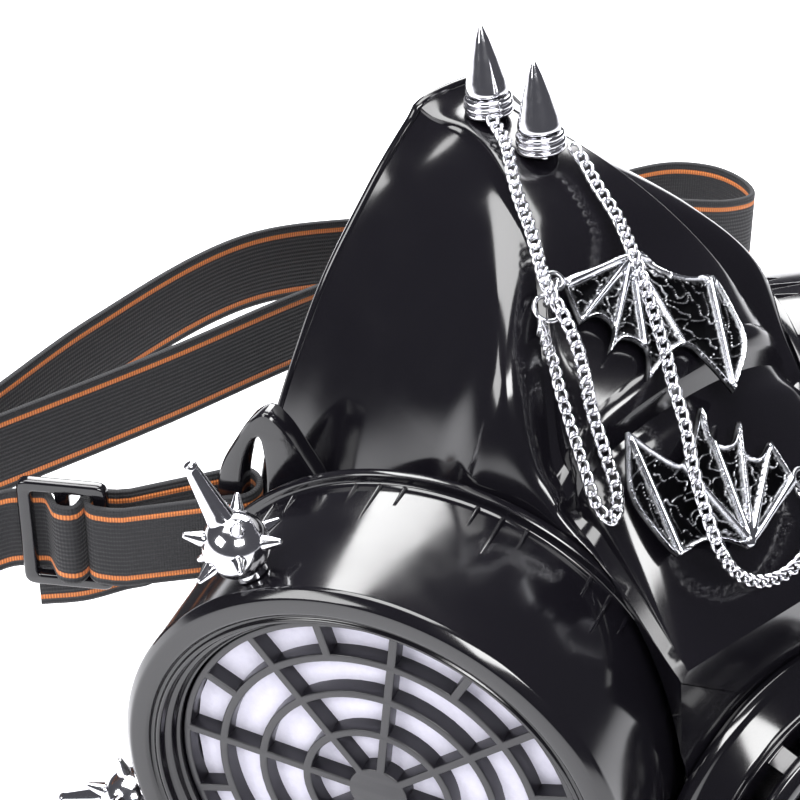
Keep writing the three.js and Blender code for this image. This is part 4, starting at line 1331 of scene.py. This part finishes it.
@dataclass
class NoseSpike:
    """A polished cone on three stacked wire rings."""

    name: str
    y: float
    z: float
    length: float = 14.0
    radius: float = 4.3
    ring_r: float = 4.8
    wire: float = 0.65
    lean: float = math.radians(10.0)

    def place(self, up: float) -> Matrix:
        """A frame this far up the spike's axis."""
        at = Matrix.Translation((0.0, self.y, self.z))
        return at @ Matrix.Rotation(-self.lean, 4, "X") @ Matrix.Translation((0, 0, up))

    def build(self, dresser: Dresser) -> None:
        """Builds and dresses the spike and its rings."""
        r, tall = self.radius, self.length
        cone = rounded(
            [(0, 0), (r - 0.4, 0), (r, 0.5), (r, 1.1), (r * 0.92, 2.6), (r * 0.64, 6.9),
             (r * 0.36, 10.8), (0.6, tall - 0.7), (0.35, tall - 0.1), (0, tall)],
            0.5,
            4,
        )
        stack = 6 * self.wire
        spike = turned(f"nose_spike_{self.name}_cone", cone, 64, self.place(stack + GAP), 50.0)
        dresser.dress(spike, "polished_steel", [f"nose_spike_{self.name}"], NICKEL)
        rings = []
        angles = np.linspace(0, TURN, 48, endpoint=False)
        for i in range(3):
            reach = self.ring_r - self.wire + 0.12 * (i % 2)
            path = np.stack(
                [reach * np.cos(angles), reach * np.sin(angles), 0 * angles + self.wire * (2 * i + 1)],
                1,
            )
            ring = tube("ring", path, self.wire, 14, closed=True)
            ring.data.transform(
                Matrix.Scale(MM, 4) @ self.place(0.0) @ Matrix.Scale(1 / MM, 4)
            )
            rings.append(ring)
        core = turned("core", [(0, 0.1), (3.2, 0.1), (3.2, stack), (0, stack)], 32, self.place(0))
        rings.append(core)
        piece = joined(f"spike_washers_{self.name}_rings", rings)
        dresser.dress(piece, "polished_steel", [f"spike_washers_{self.name}"], NICKEL)
        dresser.refinish(f"spike_screw_{self.name}", NICKEL)


# Bat wings

WING_EDGE = (
    (0.00, 0.035), (0.12, 0.210), (0.19, 0.325), (0.26, 0.425), (0.36, 0.410), (0.46, 0.420),
    (0.55, 0.455), (0.665, 0.545), (0.70, 0.530), (0.82, 0.440), (0.95, 0.305), (1.00, 0.000),
    (0.84, 0.065), (0.69, 0.095), (0.64, 0.030), (0.59, -0.220), (0.51, -0.060),
    (0.395, -0.075), (0.36, -0.200), (0.32, -0.050), (0.23, -0.040), (0.17, -0.140),
    (0.085, -0.055),
)
WING_TIPS = (3, 7, 11, 15, 18, 21, 0)
WING_FINGERS = (
    ((0.03, 0.03), (0.25, 0.39), 1.0),
    ((0.25, 0.40), (0.66, 0.52), 1.0),
    ((0.66, 0.52), (0.98, 0.03), 0.9),
    ((0.25, 0.39), (0.68, 0.085), 0.8),
    ((0.25, 0.39), (0.585, -0.20), 0.9),
    ((0.25, 0.39), (0.36, -0.18), 0.85),
    ((0.25, 0.39), (0.17, -0.12), 0.8),
)


@dataclass
class BatWing:
    """A cast wing: raised rim and fingers, sunk skin between them, and fine veins."""

    name: str
    place: Matrix
    length: float = 38.0
    thickness: float = 1.6
    pitch: float = 0.24

    def edge(self) -> np.ndarray:
        """The wing's outline with soft hollows and pointed tips, in millimetres."""
        points = [np.array(p) * self.length for p in WING_EDGE]
        tips = sorted(WING_TIPS)
        done: list[np.ndarray] = []
        for start, end in zip(tips, tips[1:] + [tips[0] + len(points)]):
            run = [np.append(points[i % len(points)], 0.0) for i in range(start, end + 1)]
            line = smooth_path(run, 0.7) if len(run) > 2 else np.array(run)
            done.append(line[:-1, :2])
        return np.concatenate(done)

    @staticmethod
    def distance(points: np.ndarray, a: np.ndarray, b: np.ndarray) -> tuple[np.ndarray, np.ndarray]:
        """Distance of points from a stretch, and how far along it they are."""
        along = b - a
        t = np.clip(((points - a) @ along) / (along @ along), 0.0, 1.0)
        return np.linalg.norm(points - (a + t[:, None] * along), axis=1), t

    def relief(self, points: np.ndarray, edge: np.ndarray) -> np.ndarray:
        """Height of the casting's face over the wing, from 0 to about 1.

        Args:
            points: Places on the wing, in millimetres.
            edge: The wing's outline.

        Returns:
            The height at each place.
        """
        rim = np.full(len(points), 99.0)
        for a, b in zip(edge, np.roll(edge, -1, 0)):
            rim = np.minimum(rim, self.distance(points, a, b)[0])
        height = 0.62 * np.exp(-((rim / 0.62) ** 2))
        fingers = np.full(len(points), 99.0)
        for start, end, weight in WING_FINGERS:
            a, b = np.array(start) * self.length, np.array(end) * self.length
            away, t = self.distance(points, a, b)
            wide = weight * (1.0 - 0.42 * t)
            height = np.maximum(height, weight * np.sqrt(np.clip(1 - (away / wide) ** 2, 0, 1)))
            fingers = np.minimum(fingers, away)
        hollow = np.clip(np.minimum(fingers, rim) / 3.2, 0, 1)
        height = np.maximum(height, 0.22 * (1 - hollow))
        joint = np.array((0.25, 0.39)) * self.length
        offset = points - joint
        reach = np.linalg.norm(offset, axis=1)
        angle = np.arctan2(offset[:, 1], offset[:, 0])
        wander = 0.07 * np.sin(reach * 0.9 + 3.0 * np.sin(angle * 5)) + 0.03 * np.sin(reach * 2.3)
        fan = np.abs(((angle + wander) * 3.6 / 1.0) % 1.0 - 0.5)
        veins = np.exp(-((fan * reach * 0.28 / 0.16) ** 2)) * (reach > 2.5)
        cross = np.abs((reach * 0.21 + 0.35 * np.sin(angle * 9)) % 1.0 - 0.5)
        branches = np.exp(-((cross / 0.035) ** 2)) * (fan > 0.1)
        height = np.maximum(height, 0.42 * veins)
        return np.maximum(height, 0.30 * branches)

    def build(self, dresser: Dresser) -> None:
        """Builds and dresses the wing."""
        edge = self.edge()
        low = edge.min(0) - 0.6
        high = edge.max(0) + 0.6
        counts = ((high - low) / self.pitch).astype(int) + 1
        xs = np.linspace(low[0], high[0], counts[0])
        ys = np.linspace(low[1], high[1], counts[1])
        gx, gy = np.meshgrid(xs, ys, indexing="ij")
        flat = np.stack([gx.ravel(), gy.ravel()], 1)
        height = 0.75 + 1.55 * self.relief(flat, edge)
        top = np.column_stack([flat, height])
        bottom = np.column_stack([flat, np.full(len(flat), 0.0)])
        count = len(flat)
        nx, ny = counts
        number = np.arange(count).reshape(nx, ny)
        quads = np.stack(
            [number[:-1, :-1], number[1:, :-1], number[1:, 1:], number[:-1, 1:]], -1
        ).reshape(-1, 4)
        faces = quads.tolist() + (quads[:, ::-1] + count).tolist()
        border = np.concatenate(
            [number[:, 0], number[-1, 1:], number[-2::-1, -1], number[0, -2:0:-1]]
        )
        for a, b in zip(border, np.roll(border, -1)):
            faces.append([int(b), int(a), int(a) + count, int(b) + count])
        slab = add_object(f"{self.name}_cast", np.concatenate([top, bottom]), faces)
        clean(slab, 60.0)
        prism = flat_plate(
            "edge", [edge], 4.0, 0.02, Matrix.Translation((0, 0, -0.8))
        )
        carve(slab, prism, Cut.KEEP_COMMON)
        pieces = [slab]
        loop = tube(
            "loop",
            np.array(
                [
                    (-1.3 + 1.72 * math.cos(a), 1.72 * math.sin(a), 0.8)
                    for a in np.linspace(0, TURN, 28, endpoint=False)
                ]
            ),
            0.52,
            12,
            closed=True,
        )
        pieces.append(loop)
        for along, across in ((0.30, 0.24), (0.62, 0.34)):
            post = turned(
                "post", [(0, -1.6), (1.3, -1.6), (1.3, 0.5), (0, 0.5)], 20,
                Matrix.Translation((along * self.length, across * self.length, 0)),
            )
            pieces.append(post)
        wing = joined(f"{self.name}_cast", pieces)
        clean(wing, 60.0)
        marks = wing.data.attributes.new("relief", "FLOAT", "POINT")
        for mark, vertex in zip(marks.data, wing.data.vertices):
            mark.value = float(np.clip((vertex.co.z / MM - 0.85) / 1.0, 0.0, 1.0))
        wing.data.transform(Matrix.Scale(MM, 4) @ self.place @ Matrix.Scale(1 / MM, 4))
        dresser.dress(wing, "antique_silver", [self.name], CAST_SILVER)


# Chains

CHAIN_PATHS = {
    "left": (
        (-4.4, 7.68, 154.58), (-5.8, 3.98, 154.08), (-7.3, 0.68, 153.41),
        (-10.3, -4.02, 151.58), (-13, -8.82, 149.25), (-16.8, -16.62, 146.57),
        (-20.8, -23.62, 144.1), (-24, -29.22, 142.96), (-24.9, -34.72, 139.55),
        (-24.9, -37.62, 135.91), (-25.2, -40.72, 130.46), (-24.8, -42.22, 124.27),
        (-25.9, -48.02, 116.36), (-26.8, -52.42, 109.69), (-28.6, -53.02, 105.88),
        (-29.4, -49.62, 107.91), (-28.8, -46.02, 112.48), (-27.9, -41.02, 119.01),
        (-26.8, -36.22, 125.22), (-25.8, -33.02, 129.61), (-26.6, -32.12, 132.91),
        (-27.51, -31.55, 136.68),
    ),
    "right": (
        (3.1, -7.52, 152.04), (2.8, -10.42, 150.52), (1.7, -14.72, 148.45),
        (0.1, -22.32, 145.19), (-3.6, -30.22, 143.06), (-5.8, -35.52, 140.14),
        (-9.6, -45.42, 131.97), (-12.2, -50.82, 127.36), (-14, -56.22, 121.79),
        (-16.8, -61.62, 115.97), (-18.8, -67.22, 110.57), (-19.4, -71.42, 105.59),
        (-17, -73.62, 100.22), (-12.4, -75.42, 96.57), (-5.4, -76.02, 95.17),
        (1.6, -74.82, 96.25), (8.65, -70.68, 99.25),
    ),
}


@dataclass
class CurbChain:
    """A curb chain: twisted oval links that lie flat and hook through each other."""

    name: str
    pitch: float = 2.25
    link_length: float = 3.9
    link_width: float = 2.7
    wire: float = 0.4
    twist: float = 0.46
    steps: int = 22
    sides: int = 7

    def link(self) -> np.ndarray:
        """Points of one link's wire, along X and flat in XY."""
        a = np.linspace(0, TURN, self.steps, endpoint=False)
        x = (self.link_length / 2 - self.wire) * np.cos(a)
        y = (self.link_width / 2 - self.wire) * np.sin(a)
        z = self.twist * np.sin(2 * a)
        return np.stack([x, y, z], 1)

    def build(self, dresser: Dresser) -> None:
        """Builds and dresses the chain."""
        path = smooth_path(CHAIN_PATHS[self.name], self.pitch)
        tangents = np.gradient(path, axis=0)
        tangents /= np.linalg.norm(tangents, axis=1, keepdims=True)
        outward = np.array([-0.35, -0.55, 0.75])
        wire = self.link()
        all_vertices, all_faces, start = [], [], 0
        for i, (at, along) in enumerate(zip(path, tangents)):
            face = outward - along * (outward @ along)
            face /= np.linalg.norm(face)
            lean = 0.12 * math.sin(i * 1.7) + 0.35
            across = np.cross(face, along)
            flat = math.cos(lean) * across + math.sin(lean) * face
            rise = np.cross(along, flat)
            spot = at + np.outer(wire[:, 0], along) + np.outer(wire[:, 1], flat)
            spot = spot + np.outer(wire[:, 2], rise)
            vertices, faces = skin(tube_rings(spot, self.wire, self.sides, True), along=True)
            all_vertices.append(vertices)
            all_faces += [tuple(k + start for k in f) for f in faces]
            start += len(vertices)
        piece = add_object(f"chain_{self.name}_links", np.concatenate(all_vertices), all_faces)
        clean(piece, 60.0)
        dresser.dress(piece, "polished_steel", [f"chain_{self.name}"], NICKEL)


@dataclass
class JumpRing:
    """A split jump ring of round wire."""

    name: str
    place: Matrix
    flat: bool
    radius: float = 2.6
    wire: float = 0.45

    def build(self, dresser: Dresser) -> None:
        """Builds and dresses the ring."""
        angles = np.linspace(0, TURN, 40, endpoint=False)
        up = 0 * angles
        ring = np.stack([np.cos(angles), up, np.sin(angles)], 1)
        if self.flat:
            ring = np.stack([np.cos(angles), np.sin(angles), up], 1)
        piece = tube(f"{self.name}_wire", self.radius * ring, self.wire, 12, closed=True)
        piece.data.transform(Matrix.Scale(MM, 4) @ self.place @ Matrix.Scale(1 / MM, 4))
        dresser.dress(piece, "polished_steel", [self.name], NICKEL)


# Straps

# The way round one slider, for the right side
WEAVE_PATH = (
    (78.05, 48.12, 68.35), (80.54, 45.95, 68.35), (83.07, 45.2, 68.35), (85.31, 47.77, 68.35),
    (84.61, 50.63, 68.35), (83.91, 53.63, 68.05), (86.18, 56.69, 67.55), (89.46, 60.46, 66.75),
)
HEAD_LEFT = (
    (-104.01, 62.98, 66), (-121.96, 69.98, 65), (-131, 77.98, 65.5), (-126.94, 85.98, 66),
    (-112, 86.98, 66.5), (-75.06, 82.98, 67), (-34.98, 79.98, 67),
)
HEAD_RIGHT = (
    (34.98, 80.98, 63), (75.06, 83.98, 59), (105.06, 81.98, 57), (121.96, 76.98, 56.5),
    (129.43, 68.98, 56), (131, 60.98, 55.5), (127.46, 53.98, 56), (118.03, 52.98, 58),
    (101, 57.48, 63),
)
HEAD_MIDDLE = (0.0, 78.98, 67.0)
CROWN_PATH = (
    (-99.95, 87.38, 67), (-80.04, 87.88, 69), (-45.06, 92.98, 73), (0, 95.98, 75),
    (45.06, 91.98, 65), (80.04, 87.98, 60), (99.95, 85.58, 58),
)
TAIL_PATH = (
    (84.1, 59.17, 54.35), (77.7, 52.13, 56.35), (71.79, 45.35, 60.35), (68.94, 40.54, 63.35),
    (66.09, 40.63, 63.85), (66.1, 43.68, 62.35), (71.5, 49.58, 58.35), (74.94, 53.22, 55.35),
)


def head_route() -> list[Point]:
    """The whole head strap, from the left slider round to the right one."""
    left_weave = [(-x, y, z) for x, y, z in WEAVE_PATH]
    return [*left_weave, *HEAD_LEFT, HEAD_MIDDLE, *HEAD_RIGHT, *WEAVE_PATH[::-1]]


@dataclass
class HeadStraps:
    """Elastic bands, loops, tails and the two sliders."""

    width: float = 20.0
    thickness: float = 1.3
    slider_length: float = 19.0
    slider_height: float = 27.0
    slider_t: float = 2.6
    bar: float = 3.0
    slider_away: float = 36.0
    slider_drop: float = 7.652

    def band(self, name: str, path: np.ndarray, closed: bool = False) -> bpy.types.Object:
        """A woven band standing on edge along a path, with rounded selvedges.

        Args:
            name: The piece's name.
            path: Its middle line.
            closed: Whether it closes on itself.

        Returns:
            The piece, with a UV map in millimetres.
        """
        if closed:
            tangents = np.roll(path, -1, 0) - np.roll(path, 1, 0)
        else:
            tangents = np.gradient(path, axis=0)
        tangents[:, 2] = 0.0
        tangents /= np.linalg.norm(tangents, axis=1, keepdims=True)
        half_t = self.thickness / 2
        around = [(half_t * s, w) for s, w in self.section()]
        rings = []
        lengths = np.concatenate([[0], np.cumsum(np.linalg.norm(np.diff(path, axis=0), axis=1))])
        for at, along in zip(path, tangents):
            out = np.array([along[1], -along[0], 0.0])
            rings.append(np.array([at + out * t + np.array([0, 0, w]) for t, w in around]))
        vertices, faces = skin(rings, along=closed, caps=not closed)
        piece = add_object(name, vertices, faces)
        count = len(around)
        layer = piece.data.uv_layers.new(name="cloth")
        total = lengths[-1] + (np.linalg.norm(path[0] - path[-1]) if closed else 0.0)
        for face in piece.data.polygons:
            wraps = closed and max(face.vertices) >= (len(path) - 1) * count and min(
                face.vertices
            ) < count
            for corner in face.loop_indices:
                index = piece.data.loops[corner].vertex_index
                row = index // count
                if row >= len(path):
                    layer.data[corner].uv = (lengths[-1] if row else 0.0, 0.0)
                    continue
                along_mm = total if wraps and row == 0 else lengths[row]
                layer.data[corner].uv = (along_mm, around[index % count][1])
        piece.data.shade_smooth()
        piece.data.set_sharp_from_angle(angle=math.radians(70.0))
        return piece

    def section(self) -> list[tuple[float, float]]:
        """Points round the band: side from -1 to 1, and millimetres across."""
        half = self.width / 2
        edge = 0.55
        points = [(1.0, w) for w in np.linspace(-half + edge, half - edge, 13)]
        points += [(0.75, half - 0.16), (0.0, half), (-0.75, half - 0.16)]
        points += [(-1.0, w) for w in np.linspace(half - edge, -half + edge, 13)]
        points += [(-0.75, -half + 0.16), (0.0, -half), (0.75, -half + 0.16)]
        return points

    def heading(self, side: int) -> tuple[np.ndarray, np.ndarray]:
        """The lug bar's place in plan and the way from it to the slider."""
        bar = FilterCanister(side).place() @ Vector((-46.0, side * 47.8, 0.0))
        way = np.array([side * 27.0, 31.0])
        return np.array([bar.x, bar.y]), way / np.linalg.norm(way)

    def loop(self, side: int) -> bpy.types.Object:
        """The short loop between a lug and its slider."""
        bar, way = self.heading(side)
        far = self.slider_away - self.slider_length / 2 + self.bar / 2
        near_r, far_r = 4.3 + self.thickness / 2, 2.3 + self.thickness / 2
        spread = math.acos((near_r - far_r) / far)
        local = []
        for a in np.linspace(spread, TURN - spread, 26):
            local.append((near_r * math.cos(a), near_r * math.sin(a)))
        for t in np.linspace(0.1, 0.9, 9):
            a = np.array(local[25])
            b = np.array((far + far_r * math.cos(spread), -far_r * math.sin(spread)))
            local.append(tuple(a + (b - a) * t))
        for a in np.linspace(-spread, spread, 14):
            local.append((far + far_r * math.cos(a), far_r * math.sin(a)))
        for t in np.linspace(0.1, 0.9, 9):
            a = np.array((far + far_r * math.cos(spread), far_r * math.sin(spread)))
            b = np.array(local[0])
            local.append(tuple(a + (b - a) * t))
        path = []
        for x, y in local:
            spot = bar + way * x + np.array([-way[1], way[0]]) * y
            sink = min(max(x / (far - 4.0), 0.0), 1.0) * self.slider_drop
            path.append((spot[0], spot[1], 76.0 - sink))
        name = "left" if side < 0 else "right"
        return self.band(f"lug_strap_{name}_woven", np.array(path), closed=True)

    def slider(self, side: int) -> bpy.types.Object:
        """The moulded slider with its two slots."""
        bar, way = self.heading(side)
        at = bar + way * self.slider_away
        w, h = self.slider_length / 2, self.slider_height / 2
        edge = rounded([(0, -h), (w, -h), (w, h), (-w, h), (-w, -h), (0, -h)], 2.6, 6)[1:]
        outlines = [edge]
        slot_w = (self.slider_length - 3 * self.bar) / 2
        for end in (-1, 1):
            c = end * (slot_w + self.bar) / 2
            s, t = slot_w / 2, (self.width + 1.6) / 2
            outlines.append(
                rounded([(c, -t), (c + s, -t), (c + s, t), (c - s, t), (c - s, -t), (c, -t)], 0.8)[1:]
            )
        place = basis(
            (way[0], way[1], 0), (0, 0, 1), (way[1], -way[0], 0), (at[0], at[1], 76.0 - self.slider_drop)
        ) @ Matrix.Translation((0, 0, -self.slider_t / 2))
        name = "left" if side < 0 else "right"
        return flat_plate(f"strap_slider_{name}_moulded", outlines, self.slider_t, 0.7, place)

    def build(self, dresser: Dresser) -> None:
        """Builds and dresses all straps and sliders."""
        head = smooth_path(head_route(), 1.1)
        dresser.dress(self.band("head_strap_woven", head), "elastic", ["head_strap"], ELASTIC)
        crown = smooth_path(CROWN_PATH, 2.0)
        dresser.dress(self.band("crown_strap_woven", crown), "elastic", ["crown_strap"], ELASTIC)
        for side, name in ((-1, "left"), (1, "right")):
            dresser.dress(self.loop(side), "elastic", [f"lug_strap_{name}"], ELASTIC)
            tail = smooth_path([(side * x, y, z) for x, y, z in TAIL_PATH], 0.8)
            piece = self.band(f"strap_tail_{name}_woven", tail)
            dresser.dress(piece, "elastic", [f"strap_tail_{name}"], ELASTIC)
            dresser.dress(
                self.slider(side), "slider_plastic", [f"strap_slider_{name}"], GLOSSY_ABS
            )


# Studio

# Name, place, aim, width, height and power of each soft box, in metres and watts
SOFT_BOXES = (
    ("key", (-0.5, -1.2, 1.3), (0.0, -0.03, 0.1), 0.9, 0.5, 30.0),
    ("rim", (0.9, 0.9, 1.0), (0.0, 0.0, 0.1), 1.1, 0.7, 34.0),
    ("top", (-0.1, 0.3, 1.7), (0.0, 0.0, 0.05), 1.3, 1.3, 60.0),
    ("left", (-1.4, 0.3, 0.9), (0.0, 0.0, 0.08), 0.8, 0.6, 16.0),
)
WORLD_COLOUR = "#d4d4e0"
WORLD_STRENGTH = 0.16
FLOOR_REACH = 4000.0
FLOOR_DROP = 0.3


@dataclass
class Studio:
    """Pale floor, soft boxes and the camera at the photograph's place."""

    camera_at: Point = (-302.2, -273.9, 401.9)
    up: Point = (0.378, 0.443, 0.813)
    back: Point = (-0.528, -0.618, 0.582)
    focal_px: float = 2600.0
    picture_px: float = 800.0

    def camera(self) -> None:
        """Sets the camera."""
        data = bpy.data.cameras.new("camera")
        data.sensor_width = 36.0
        data.lens = self.focal_px / self.picture_px * data.sensor_width
        data.clip_start = 0.01
        holder = bpy.data.objects.new("camera", data)
        bpy.context.scene.collection.objects.link(holder)
        x, y, z = self.camera_at
        # unit axes from the rounded ones
        c = Vector(self.back).normalized()
        r = Vector(self.up).cross(c).normalized()
        u = c.cross(r)
        holder.matrix_world = basis(r, u, c, (x * MM, (y + SHIFT_Y) * MM, z * MM))
        bpy.context.scene.camera = holder

    def soft_box(
        self, name: str, at: Point, aim: Point, width: float, height: float, power: float
    ) -> None:
        """A soft box in metres, aimed at a place.

        Args:
            name: Its name.
            at: Its place.
            aim: Where it points.
            width: Its width.
            height: Its height.
            power: Its power in watts.
        """
        data = bpy.data.lights.new(name, "AREA")
        data.shape = "RECTANGLE"
        data.size = width
        data.size_y = height
        data.energy = power
        holder = bpy.data.objects.new(name, data)
        holder.location = at
        holder.rotation_euler = (Vector(aim) - Vector(at)).to_track_quat("-Z", "Y").to_euler()
        bpy.context.scene.collection.objects.link(holder)

    def floor(self) -> None:
        """A wide pale floor under the mask."""
        corners = np.array([(-1.0, -1.0, 0.0), (1.0, -1.0, 0.0), (1.0, 1.0, 0.0), (-1.0, 1.0, 0.0)])
        piece = add_object(
            "floor",
            FLOOR_REACH * corners - (0.0, 0.0, FLOOR_DROP),
            [(0, 1, 2, 3)],
        )
        material, tree, shader, places = new_material("white_card")
        shader.inputs["Roughness"].default_value = 0.9
        tone = add_node(
            tree,
            "ShaderNodeTexNoise",
            inputs={"Vector": places, "Scale": 2.0, "Detail": 1.0},
        )
        paper = add_node(
            tree,
            "ShaderNodeMix",
            {"data_type": "RGBA"},
            {0: tone.outputs["Fac"], 6: linear("#f4f4f6"), 7: linear("#ededf1")},
        )
        tree.links.new(paper.outputs[2], shader.inputs["Base Color"])
        piece.data.materials.append(material)

    def build(self) -> None:
        """Builds the studio."""
        self.camera()
        self.floor()
        world = bpy.data.worlds.new("studio")
        world.use_nodes = True
        world.node_tree.nodes["Background"].inputs["Color"].default_value = linear(WORLD_COLOUR)
        world.node_tree.nodes["Background"].inputs["Strength"].default_value = WORLD_STRENGTH
        bpy.context.scene.world = world
        bpy.context.scene.view_settings.view_transform = "Standard"
        for name, at, aim, width, height, power in SOFT_BOXES:
            self.soft_box(name, at, aim, width, height, power)
        LOG.info("studio ready")


# X, Y and Z axes and the place of each piece of trim on the front panel
WING_SEATS = {
    "wing_upper": (
        (0.4924, -0.7341, -0.4676), (0.8704, 0.4153, 0.2646), (0, -0.5373, 0.8434),
        (-18.303, -26.116, 139.195),
    ),
    "wing_lower": (
        (-0.809, 0.3971, 0.4334), (-0.5878, -0.5466, -0.5965), (0, -0.7373, 0.6756),
        (7.597, -64.679, 104.614),
    ),
}
UPPER_RING_AXES = ((-0.7716, -0.5365, -0.3418), (0.6361, -0.6508, -0.4146), (0, -0.5373, 0.8434))
LOWER_RING_AXES = ((0, -0.6756, -0.7373), (1, 0, 0), (0, -0.7373, 0.6756))
# Whether each ring lies flat, then its seat
RING_SEATS = {
    "jump_ring_upper_1": (False, (*UPPER_RING_AXES, (-20.949, -26.986, 139.589))),
    "jump_ring_upper_2": (True, (*UPPER_RING_AXES, (-23.92, -29.051, 138.273))),
    "jump_ring_lower_1": (False, (*LOWER_RING_AXES, (8.649, -67.541, 102.675))),
}


def main() -> None:
    """Builds the studio and the pieces in order."""
    logging.basicConfig(level=logging.INFO, format="%(name)s %(message)s")
    dresser = Dresser()
    Studio().build()
    FaceCup().build(dresser)
    for side in (-1, 1):
        FilterCanister(side).build(dresser)
    FrontValve().build(dresser)
    NoseSpike("back", 13.575, 152.271).build(dresser)
    NoseSpike("front", -1.425, 150.619).build(dresser)
    for name, seat in WING_SEATS.items():
        BatWing(name, basis(*seat)).build(dresser)
    for name in CHAIN_PATHS:
        CurbChain(name).build(dresser)
    for name, (flat, seat) in RING_SEATS.items():
        JumpRing(name, basis(*seat), flat).build(dresser)
    HeadStraps().build(dresser)


if __name__ == "__main__":
    main()
